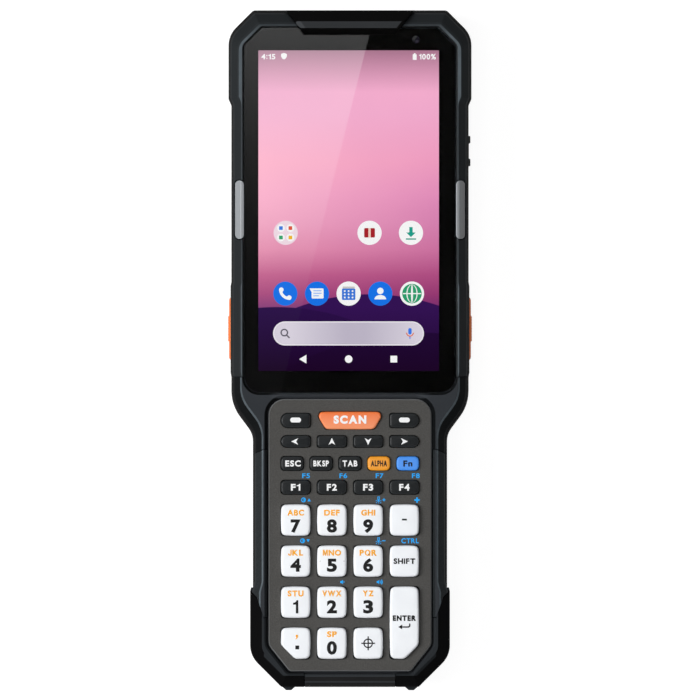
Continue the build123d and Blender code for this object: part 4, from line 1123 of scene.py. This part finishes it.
def wallpaper():
    """A pink sky that turns violet, over three large overlapping discs, with a painted glare left of a
    slanting edge.
    """
    material, tree, shader = new_material("wallpaper")
    (low_x, low_y), (high_x, high_y) = picture_box()
    height = spread(axis(tree, "Y"), low_y, high_y)
    sky = add_node(tree, "ValToRGB", {"Fac": height})
    while len(sky.color_ramp.elements) < len(SKY):
        sky.color_ramp.elements.new(0.5)
    for element, (position, code) in zip(sky.color_ramp.elements, SKY):
        element.position = position
        element.color = (*linear(code), 1.0)
    side = blend(spread(axis(tree, "X"), low_x, high_x), (1.14, 1.28, 1.14), (0.86, 0.74, 0.9))
    side = blend(spread(height, 0.5, 0.86, 1.0, 0.0), WHITE, side)
    top = blend(spread(height, 0.87, 0.995, 1.0, 0.46), BLACK, WHITE)
    colour = tinted(tinted(sky.outputs["Color"], side), top)
    # painted glare: the part left of the slanting edge is mixed towards white
    paler = times(spread(sheen_line(tree), SHEEN_EDGE, SHEEN_EDGE + 0.15 * MM, 1.0, 0.0),
                  spread(axis(tree, "Y"), 20 * MM, 72 * MM, 0.01, 0.088))
    colour = blend(paler, colour, WHITE)
    for (right, up), radius, code in HILLS:
        middle = (low_x + right * (high_x - low_x), low_y + up * (high_y - low_y), under_glass(8))
        reach = add_node(tree, "VectorMath", {0: place(tree), 1: middle}, operation="DISTANCE")
        size = radius * (high_y - low_y)
        shade = blend(spread(height, 0.0, 0.2), linear(0x1C0626), linear(code))
        colour = blend(spread(reach.outputs["Value"], size, size - 0.15 * MM), colour, shade)
    lit(shader, colour)
    return material


class Picture:
    """Flat lit shapes on the display, in millimetres about a middle."""

    def __init__(self):
        self.shades = {}
        self.middle = (0.0, 0.0)

    def at(self, x, y):
        """Moves the middle, in millimetres from the case's middle."""
        self.middle = (x, y)
        return self

    def shade(self, code):
        """The glowing material of a colour."""
        if code not in self.shades:
            self.shades[code] = glow("lit_%06x" % code, linear(code))
        return self.shades[code]

    def add(self, name, loops, code, depth, material=None):
        """Adds a flat shape; a smaller depth lies over a larger one."""
        mesh = flat_mesh(name, placed(self.middle, loops), under_glass(depth + 0.4), under_glass(depth))
        add_piece(name, mesh, material or self.shade(code), "housing")

    def word(self, name, text, height, width):
        """Adds small white words."""
        mesh = word_mesh(name, text, (self.middle[0] * MM, self.middle[1] * MM), height * MM,
                         under_glass(5.4), under_glass(5), width * MM, 0.03)
        add_piece(name, mesh, self.shade(SNOW), "housing")


# ---------------------------------------------------------------- stage
FLOOR_HALF, CARD_HALF = 3.0, 0.9
LAMP_SIDE = 0.8
LAMPS = (                   # name, place and power in watts
    ("key_lamp", (-1.1, 0.0, 1.15), 22.0),
    ("fill_lamp", (0.0, -0.1, 1.6), 6.5),
)
FLOOR_GREY, FLOOR_GLOW = 0.3, 0.9
CARD_DARK, CARD_BRIGHT = 0.03, 0.75
WORLD_LIGHT = 0.12
PICTURE_PIXELS = 700
CAMERA_REACH = 20.0


def hold(name, data, middle=(0.0, 0.0, 0.0)):
    """Puts a mesh, a lamp or a camera in the scene."""
    holder = bpy.data.objects.new(name, data)
    holder.location = middle
    bpy.context.scene.collection.objects.link(holder)
    return holder


def stage_plane(name, half, height, material):
    """A square sheet that faces up."""
    mesh = bpy.data.meshes.new(name)
    corners = [(x * half, y * half, height) for x, y in ((-1, -1), (1, -1), (1, 1), (-1, 1))]
    mesh.from_pydata(corners, [], [(0, 1, 2, 3)])
    mesh.materials.append(material)
    sheet = hold(name, mesh)
    return sheet


def seen_share(tree):
    """1 for camera, mirror and glass rays and 0 for the light that falls on things."""
    rays = add_node(tree, "LightPath").outputs
    either = maths("MAXIMUM", rays["Is Camera Ray"], rays["Is Glossy Ray"])
    return maths("MAXIMUM", either, rays["Is Transmission Ray"])


def floor_material():
    """White floor that keeps a soft shadow, and that doesn't show from below."""
    material, tree, shader = new_material("floor")
    dress(shader, colour=scaled(WHITE, FLOOR_GREY), roughness=0.9, specular=0.0, glow_colour=WHITE,
          glow=times(seen_share(tree), FLOOR_GLOW))
    clear = add_node(tree, "BsdfTransparent").outputs["BSDF"]
    below = add_node(tree, "NewGeometry").outputs["Backfacing"]
    either = add_node(tree, "MixShader", {"Fac": below, 1: shader.outputs["BSDF"], 2: clear})
    feed(either.outputs["Shader"], tree.nodes["Material Output"].inputs["Surface"])
    return material


def card_material():
    """A dark studio card whose left part is lit, which only mirrors show."""
    material, tree, _ = new_material("card")
    glass_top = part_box("display_glass")[1].z
    reach = 1 + (sizes().card_height - glass_top) / (sizes().camera_height - glass_top)
    left = spread(sheen_line(tree), SHEEN_EDGE * reach, (SHEEN_EDGE + 0.3 * MM) * reach, 1.0, 0.0)
    fade = maths("POWER", spread(axis(tree, "Y"), -10 * MM * reach, 101 * MM * reach), 3.0)
    level = times(left, spread(fade, 0.0, 1.0, CARD_DARK, CARD_BRIGHT))
    light = add_node(tree, "Emission", {"Strength": level}).outputs["Emission"]
    feed(light, tree.nodes["Material Output"].inputs["Surface"])
    return material


def make_world():
    """A white surround that lights gently and shows as plain white."""
    world = bpy.data.worlds.new("surround")
    world.use_nodes = True
    background = world.node_tree.nodes["Background"]
    feed(WHITE, background.inputs["Color"])
    feed(spread(seen_share(world.node_tree), 0.0, 1.0, WORLD_LIGHT, 1.0), background.inputs["Strength"])
    world.cycles.sampling_method = "NONE"
    bpy.context.scene.world = world


def make_camera():
    """A long lens that looks straight down on the screen."""
    scene = bpy.context.scene
    lens = bpy.data.cameras.new("camera")
    lens.sensor_width = 36.0
    height = sizes().camera_height
    distance_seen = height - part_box("display_glass")[1].z
    lens.lens = lens.sensor_width * distance_seen / (PICTURE_PIXELS * sizes().pixel)
    lens.clip_end = CAMERA_REACH
    scene.camera = hold("camera", lens, (0.0, 0.2 * sizes().pixel, height))
    scene.view_settings.view_transform = "Standard"


# ---------------------------------------------------------------- operators
class TERMINAL_OT_stage(bpy.types.Operator):
    """Adds the floor, the studio card, the lamps, the surround and the camera"""
    bl_idname = "terminal.stage"
    bl_label = "Stage"

    def execute(self, context):
        stage_plane("floor", FLOOR_HALF, -0.02 * MM, floor_material())
        card = stage_plane("card", CARD_HALF, sizes().card_height, card_material())
        card.visible_camera = False
        card.visible_diffuse = False
        card.visible_shadow = False
        make_world()
        for name, middle, power in LAMPS:
            lamp = bpy.data.lights.new(name, "AREA")
            lamp.size = LAMP_SIDE
            lamp.energy = power
            hold(name, lamp, middle).rotation_euler = (-Vector(middle)).to_track_quat("-Z", "Y").to_euler()
        make_camera()
        return {"FINISHED"}


class TERMINAL_OT_finishes(bpy.types.Operator):
    """Gives every part of the frame its finish"""
    bl_idname = "terminal.finishes"
    bl_label = "Finishes"

    def execute(self, context):
        case_finishes()
        own = {"front_housing": "neck_plastic", "port_cover": "cover_rubber", "upper_bezel": "bezel_plastic"}
        for name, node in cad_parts.items():
            for slot in node.material_slots:
                slot.material = finish_of(own.get(name, slot.material.name.split(".")[0]))
        return {"FINISHED"}


class TERMINAL_OT_display(bpy.types.Operator):
    """Adds the printed border under the glass, the lit picture and the lenses of both cameras"""
    bl_idname = "terminal.display"
    bl_label = "Display"

    def execute(self, context):
        glass_low, glass_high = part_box("display_glass")
        low, high = picture_box()
        camera = sum(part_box("front_camera"), Vector((0, 0, 0))) / 2
        edge, cut = 0.3 * MM, 5.35 * MM
        left, right = glass_low.x + edge, glass_high.x - edge
        foot, head = glass_low.y + edge, glass_high.y - edge
        screen = rectangle(low, high, 0.1 * MM)
        border = [
            rounded([(left, foot, 4.3 * MM), (right, foot, 4.3 * MM), (right, head - cut, MM),
                     (right - cut, head, MM), (left + cut, head, MM), (left, head - cut, MM)]),
            screen,
            circle((camera.x, camera.y), 1.25 * MM),
        ]
        mesh = flat_mesh("glass_border", border, under_glass(3), under_glass(1))
        black = linear(0x060606)
        paint = moulded("border_paint", black, black, 0.4, specular=0.1, fleck=0.0)
        add_piece("glass_border", mesh, paint, "housing")
        picture = flat_mesh("picture", [screen], under_glass(9), under_glass(8))
        add_piece("picture", picture, wallpaper(), "housing")
        self.lens("camera_lens", camera, 1.2 * MM, under_glass(12), under_glass(5))
        self.rear_lenses()
        return {"FINISHED"}

    def lens(self, name, middle, radius, low, high, material=None):
        """A lens in one of the camera barrels."""
        mesh = lens_mesh(name, middle, radius, low, high)
        coating = material or lens_coating(name.replace("lens", "coating"), middle, radius)
        add_piece(name, mesh, coating, "housing")

    def rear_lenses(self):
        """The lens of the rear camera and the flash beside it, which look the other way."""
        low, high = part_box("rear_camera")
        camera = Vector(((low.x + high.x) / 2, high.y - (high.x - low.x) / 2))
        flash = Vector((camera.x, low.y + 1.8 * MM))
        self.lens("rear_lens", camera, 2.7 * MM, low.z + 0.65 * MM, low.z + 0.1 * MM)
        self.lens("flash_lens", flash, 1.5 * MM, low.z + 0.3 * MM, low.z - 0.05 * MM, flash_glass())


class TERMINAL_OT_icons(bpy.types.Operator):
    """Adds the plain signs that the picture shows"""
    bl_idname = "terminal.icons"
    bl_label = "Picture signs"

    def execute(self, context):
        picture = Picture()
        low, high = picture_box()
        left, right, top = low[0] / MM, high[0] / MM, high[1] / MM
        self.status(picture, left, right, top - 1.72)
        disc = [circle((0, 0), SIGN_DISC)]
        for name, x, code, draw in (("folder_disc", -19.1, 0xF2DCE6, self.folder),
                                    ("parcel_disc", 5.8, SNOW, self.parcel),
                                    ("arrow_disc", 18.1, SNOW, self.arrow)):
            picture.at(x, top - 54.15).add(name, disc, code, 7)
            draw(picture)
        dock = [(-19.2 + 9.4 * index, top - 72.2) for index in range(5)]
        for index, code in enumerate((AZURE, AZURE, SNOW, AZURE, SNOW)):
            picture.at(*dock[index]).add("dock_disc_%d" % index, disc, code, 7)
        for spot, draw in zip(dock, (self.handset, self.note, self.calendar, self.person, self.globe)):
            draw(picture.at(*spot))
        self.search_bar(picture.at(0.0, top - 84.025))
        picture.at(0.0, top - 91.65)
        picture.add("sign_back", [[(-15.1, 0), (-12.95, -1.3), (-12.95, 1.3)]], SNOW, 5)
        picture.add("sign_home", [circle((-0.4, 0), 1.12)], SNOW, 5)
        picture.add("sign_recent", [rectangle((12.0, -1.0), (14.0, 1.0), 0.15)], SNOW, 5)
        return {"FINISHED"}

    def status(self, picture, left, right, line):
        """The clock, a shield, a battery cell and its charge."""
        picture.at(left + 2.95, line - 0.15).word("clock", "4:15", 1.6, 4.2)
        picture.at(right - 3.4, line - 0.15).word("charge", "100%", 1.65, 5.0)
        shield = [(0, 1.0), (0.86, 0.65), (0.86, -0.1), (0.5, -0.7), (0, -1.0), (-0.5, -0.7),
                  (-0.86, -0.1), (-0.86, 0.65)]
        picture.at(left + 7.6, line).add("status_shield", [shield], SNOW, 5)
        cell = [(-0.58, -1.0), (0.58, -1.0), (0.58, 0.65), (0.25, 0.65), (0.25, 1.0), (-0.25, 1.0),
                (-0.25, 0.65), (-0.58, 0.65)]
        picture.at(right - 7.2, line - 0.1).add("status_cell", [cell], SNOW, 5)

    def folder(self, picture):
        """Four small discs with a coloured spot in each."""
        for index, code in enumerate((0x3D7DE0, 0xE0553D, 0x2FA36B, 0xF0B429)):
            x, y = (-1.4, 1.4)[index % 2], (1.4, -1.4)[index // 2]
            picture.add("folder_item_%d" % index, [circle((x, y), 1.15)], SNOW, 6)
            picture.add("folder_spot_%d" % index, [bar((x - 0.55, y), (x + 0.55, y), 1.1)], code, 5)

    def parcel(self, picture):
        """A parcel with its tape."""
        picture.add("parcel", [rectangle((-1.6, -1.4), (1.6, 1.4), 0.3)], 0xA8242C, 6)
        picture.add("parcel_tape", [bar((0, -1.4), (0, 1.4), 0.7)], 0xF0D0C0, 5)

    def arrow(self, picture):
        """An arrow that points down to a tray."""
        points = [(-0.5, 1.7), (-0.5, 0.1), (-1.4, 0.1), (0, -1.3), (1.4, 0.1), (0.5, 0.1), (0.5, 1.7)]
        picture.add("arrow_down", [points], 0x1E9E8A, 6)
        picture.add("arrow_tray", [bar((-1.5, -1.85), (1.5, -1.85), 0.4)], 0x1E9E8A, 6)

    def handset(self, picture):
        """A telephone handset that leans to the left."""
        grip = arc((1.25, 1.25), 3.1, 175, 275, 12) + arc((1.25, 1.25), 2.25, 262, 188, 12)
        picture.add("handset", [grip], SNOW, 6)
        picture.add("handset_ear", [circle((-1.2, 1.15), 0.68)], SNOW, 5)
        picture.add("handset_mouth", [circle((1.15, -1.2), 0.68)], SNOW, 5)

    def note(self, picture):
        """A speech note with three lines."""
        picture.add("note", [rectangle((-1.6, -1.45), (1.95, 1.55), 0.3)], SNOW, 6)
        picture.add("note_tail", [[(-1.6, 0.4), (-2.2, 1.55), (-1.2, 1.55)]], SNOW, 6)
        for index, reach in enumerate((1.35, 1.35, 0.6)):
            level = 0.85 - 0.75 * index
            picture.add("note_line_%d" % index, [bar((-1.1, level), (reach, level), 0.3)], 0x8FB6F8, 5)

    def calendar(self, picture):
        """A leaf of a calendar with rows of days."""
        picture.add("calendar", [rectangle((-2.0, -1.9), (2.0, 1.5), 0.35)], 0x3F78D8, 6)
        picture.add("calendar_head", [rectangle((-1.8, 1.5), (1.8, 2.1), 0.2)], 0xC9C7C4, 6)
        for index in range(9):
            day = ((index % 3 - 1) * 1.15, 0.75 - (index // 3) * 0.95)
            picture.add("calendar_day_%d" % index, [circle(day, 0.27, 12)], SNOW, 5)

    def person(self, picture):
        """A head and shoulders."""
        picture.add("person_head", [circle((0, 0.8), 0.95)], SNOW, 6)
        shoulders = [(1.75 * x, 1.3 * y - 1.7) for x, y in arc((0, 0), 1.0, 0, 180, 13)]
        picture.add("person_shoulders", [shoulders], SNOW, 6)

    def globe(self, picture):
        """A globe with its equator and meridians."""
        picture.add("globe", [circle((0, 0), 2.9)], 0x2E9E6E, 6)
        picture.add("globe_equator", [bar((-2.7, 0), (2.7, 0), 0.3)], SNOW, 5)
        for name, outer, inner in (("wide", 1.65, 1.35), ("narrow", 0.3, 0.01)):
            loops = [oval((0, 0), outer, 2.7, 36), oval((0, 0), inner, 2.6, 36)]
            picture.add("globe_meridian_" + name, loops, SNOW, 5)

    def search_bar(self, picture):
        """A pale pill with a lens and a microphone."""
        left, right, half = -22.85, 21.95, 3.575
        fill = search_shade(((left + right) / 2 + 2) * MM)
        for name, edge, code, depth, material in (("search_edge", 0.0, 0xECE7EE, 7.5, None),
                                                  ("search_fill", 0.35, None, 7, fill)):
            end = half - edge
            loop = rectangle((left + edge, -end), (right - edge, end), 2 * end * 0.49)
            picture.add(name, [loop], code, depth, material)
        picture.add("search_lens", [circle((-19.5, 0.25), 1.15), circle((-19.5, 0.25), 0.75)], 0x5E5A66, 6)
        picture.add("search_handle", [bar((-18.75, -0.55), (-17.95, -1.35), 0.42)], 0x5E5A66, 6)
        picture.add("microphone", [rectangle((17.3, -0.3), (18.3, 1.6), 0.45)], 0x3A78E8, 6)
        picture.add("microphone_foot", [bar((17.8, -1.6), (17.8, -0.9), 0.3)], 0x3A78E8, 6)
        cup = arc((17.8, 0.2), 1.15, 180, 360, 10) + arc((17.8, 0.2), 0.85, 360, 180, 10)
        picture.add("microphone_cup", [cup], 0xE0683A, 5)


class TERMINAL_OT_keys(bpy.types.Operator):
    """Puts a smooth domed cap on every key"""
    bl_idname = "terminal.keys"
    bl_label = "Keys"

    def execute(self, context):
        for name in KEY_NAMES:
            node, slot = "key_" + name, key_finish(name)
            add_piece(node + "_cap", key_mesh(name), finish_of(slot), node, (node,))
        return {"FINISHED"}


class TERMINAL_OT_side_buttons(bpy.types.Operator):
    """Puts a moulded form in place of the triggers and the volume rocker"""
    bl_idname = "terminal.side_buttons"
    bl_label = "Side buttons"

    def execute(self, context):
        for name, dip_at, corner in (("left_trigger", trigger_dip, 1.4), ("right_trigger", trigger_dip, 1.4),
                                     ("volume_rocker", rocker_dip, 0.9)):
            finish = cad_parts[name].material_slots[0].material
            add_piece(name + "_form", side_button(name, dip_at, corner * MM), finish, name,
                      (name,))
        return {"FINISHED"}


class TERMINAL_OT_legends(bpy.types.Operator):
    """Prints the words and signs on the keys"""
    bl_idname = "terminal.legends"
    bl_label = "Key legends"

    def execute(self, context):
        for index, (digit, letters, width) in enumerate(LETTERS):
            rise_up, drop = ROW_SHIFTS[index // 3]
            print_word(digit, letters, (0.0, rise_up), 1.75, "ink_orange", width, part="letters")
            print_word(digit, digit, (0.0, -drop), DIGIT_HEIGHT, "ink_black",
                       DIGIT_WIDTHS.get(digit, DIGIT_WIDTH), 0.045, "digit")
        for name, (text, height, width, finish) in KEY_WORDS.items():
            bold = 0.06 if name in ("scan", "enter") else 0.04
            print_word(name, text, WORD_SHIFTS.get(name, (0.0, 0.0)), height, finish, width, bold)
        print_shape("enter", [return_loop()], "ink_black")
        for index, loops in enumerate(target_loops()):
            print_shape("target", loops, "ink_black", "sign_%d" % index)
        for name, turn, shift in (("left", 90, -0.25), ("up", 0, 0.0), ("down", 180, 0.0),
                                  ("right", -90, 0.0)):
            print_shape(name, [[(x + shift, y) for x, y in arrow_head(turn)]], "ink_white")
        for name in ("soft_left", "soft_right"):
            print_shape(name, [rectangle((-1.6, -0.58), (1.6, 0.88), 0.7)], "ink_white")
        print_shape("minus", [rectangle((-0.73, -0.1), (0.73, 0.4), 0.05)], "ink_black")
        self.nibs()
        print_shape("point", [rectangle((-0.1, -1.8), (1.05, -0.65), 0.1)], "ink_black", "dot")
        comma = [(0.0, 2.45), (0.42, 2.6), (0.7, 2.3), (0.62, 1.7), (0.1, 1.15), (-0.05, 1.3),
                 (0.25, 1.75), (0.0, 2.0)]
        print_shape("point", [comma], "ink_orange", "comma")
        return {"FINISHED"}

    def nibs(self):
        """The two raised nibs by which the finger finds the 5."""
        middle, top = key_middle("5"), key_box("5")[1].z - sizes().key_dome
        for title, across in (("left", -3.5), ("right", 3.6)):
            spot = Vector((middle.x + across * MM, middle.y))
            nib = lens_mesh("nib_" + title, spot, 0.27 * MM, top - 0.4 * MM, top + 0.06 * MM)
            add_piece("nib_" + title, nib, finish_of("nib_grey"), "key_5")


class TERMINAL_OT_plate_marks(bpy.types.Operator):
    """Prints the blue second functions on the plate"""
    bl_idname = "terminal.plate_marks"
    bl_label = "Plate marks"

    def execute(self, context):
        columns = [key_middle(name).x / MM for name in ("f1", "f2", "f3", "f4")]
        words_y, first_y, second_y, third_y = (
            key_box(name)[1].y / MM + over
            for name, over in (("f1", 1.3), ("7", 1.3), ("4", 1.35), ("1", 1.3)))
        for index, x in enumerate(columns):
            self.word("F%d" % (index + 5), (x + (3.4 if index else 3.1), words_y), 1.4, 2.3)
        for title, y, way, x in (("up", first_y, 1, columns[0] - 0.2),
                                 ("down", second_y, -1, columns[0] - 0.48)):
            self.contrast(title, (x + 2.55, y))
            arrow = [(-0.5, -0.45 * way), (0, 0.45 * way), (0.5, -0.45 * way)][::way]
            self.mark("contrast_arrow_" + title, (x + 4.2, y), [arrow])
            self.lamp(title, (columns[2] + 3.1, y))
        self.mark("lamp_plus", (columns[2] + 4.7, first_y), [cross(0.42, 0.15)])
        self.mark("lamp_minus", (columns[2] + 4.65, second_y), [bar((-0.5, 0), (0.5, 0), 0.26)])
        self.mark("plus", (columns[3] + 3.75, first_y - 0.05), [cross(0.78, 0.24)])
        self.word("CTRL", (columns[3] + 1.7, second_y), 1.45, 5.2)
        self.speaker("quiet", (columns[1] + 3.25, third_y), 1)
        self.speaker("loud", (columns[2] + 3.3, third_y), 3)
        return {"FINISHED"}

    def levels(self):
        """The two levels between which ink lies on the plate."""
        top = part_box("keypad_plate")[1].z
        return top - INK_DEPTH, top + sizes().legend_proud

    def mark(self, name, middle, loops):
        """Prints a flat blue shape, whose loops lie about its middle."""
        mesh = flat_mesh("mark_" + name, placed(middle, loops), *self.levels())
        add_piece("mark_" + name, mesh, finish_of("ink_blue"), "housing")

    def word(self, text, middle, height, width):
        """Prints a blue word."""
        mesh = word_mesh("mark_" + text, text, (middle[0] * MM, middle[1] * MM), height * MM,
                         *self.levels(), width * MM, 0.02)
        add_piece("mark_" + text, mesh, finish_of("ink_blue"), "housing")

    def contrast(self, title, middle):
        """A disc of which one half is filled."""
        self.mark("contrast_ring_" + title, middle, [circle((0, 0), 0.72, 24), circle((0, 0), 0.46, 24)])
        self.mark("contrast_half_" + title, middle, [arc((0, 0), 0.5, -90, 90, 12)])

    def lamp(self, title, middle):
        """A small hand lamp that shines down."""
        self.mark("lamp_" + title, middle, [rectangle((-0.34, 0), (0.34, 1.0), 0.08),
                                            rectangle((-0.14, 0.2), (0.14, 0.8), 0.05)])
        bell = [(-0.42, -0.5), (0.42, -0.5), (0.2, -0.06), (-0.2, -0.06)]
        self.mark("lamp_bell_" + title, middle, [bell])
        rays = ((-0.68, -0.25), (-0.62, -0.85), (0.0, -0.9), (0.62, -0.85), (0.68, -0.25))
        for index, spot in enumerate(rays):
            self.mark("lamp_ray_%s_%d" % (title, index), middle, [circle(spot, 0.15, 8)])

    def speaker(self, title, middle, waves):
        """A loudspeaker with some waves."""
        cone = [(-0.75, -0.28), (-0.4, -0.28), (0, -0.65), (0, 0.65), (-0.4, 0.28), (-0.75, 0.28)]
        self.mark("speaker_" + title, middle, [cone])
        for index in range(waves):
            radius = 0.35 + 0.3 * index
            wave = arc((0, 0), radius + 0.09, -50, 50, 9) + arc((0, 0), radius - 0.09, 50, -50, 9)
            self.mark("speaker_%s_wave_%d" % (title, index), middle, [wave])


CLASSES = (
    TerminalColours, TerminalSizes, TERMINAL_OT_stage, TERMINAL_OT_finishes, TERMINAL_OT_display,
    TERMINAL_OT_icons, TERMINAL_OT_keys, TERMINAL_OT_side_buttons, TERMINAL_OT_legends,
    TERMINAL_OT_plate_marks,
)
STEPS = [item for item in CLASSES if issubclass(item, bpy.types.Operator)]


class TERMINAL_PT_panel(bpy.types.Panel):
    """Lists the steps that dress the terminal"""
    bl_idname = "TERMINAL_PT_panel"
    bl_label = "Terminal"
    bl_space_type = "VIEW_3D"
    bl_region_type = "UI"
    bl_category = "Terminal"

    def draw(self, context):
        for step in STEPS:
            self.layout.operator(step.bl_idname)


def register():
    """Registers the settings, the operators and the panel."""
    for item in CLASSES:
        bpy.utils.register_class(item)
    bpy.utils.register_class(TERMINAL_PT_panel)
    bpy.types.Scene.terminal_colours = PointerProperty(type=TerminalColours)
    bpy.types.Scene.terminal_sizes = PointerProperty(type=TerminalSizes)


def unregister():
    """Takes all of it away again."""
    del bpy.types.Scene.terminal_sizes
    del bpy.types.Scene.terminal_colours
    bpy.utils.unregister_class(TERMINAL_PT_panel)
    for item in reversed(CLASSES):
        bpy.utils.unregister_class(item)


def main():
    """Builds the stage and every piece."""
    register()
    bpy.ops.terminal.stage()
    bpy.ops.terminal.finishes()
    bpy.ops.terminal.display()
    bpy.ops.terminal.icons()
    bpy.ops.terminal.keys()
    bpy.ops.terminal.side_buttons()
    bpy.ops.terminal.legends()
    bpy.ops.terminal.plate_marks()


if __name__ == "__main__":
    main()
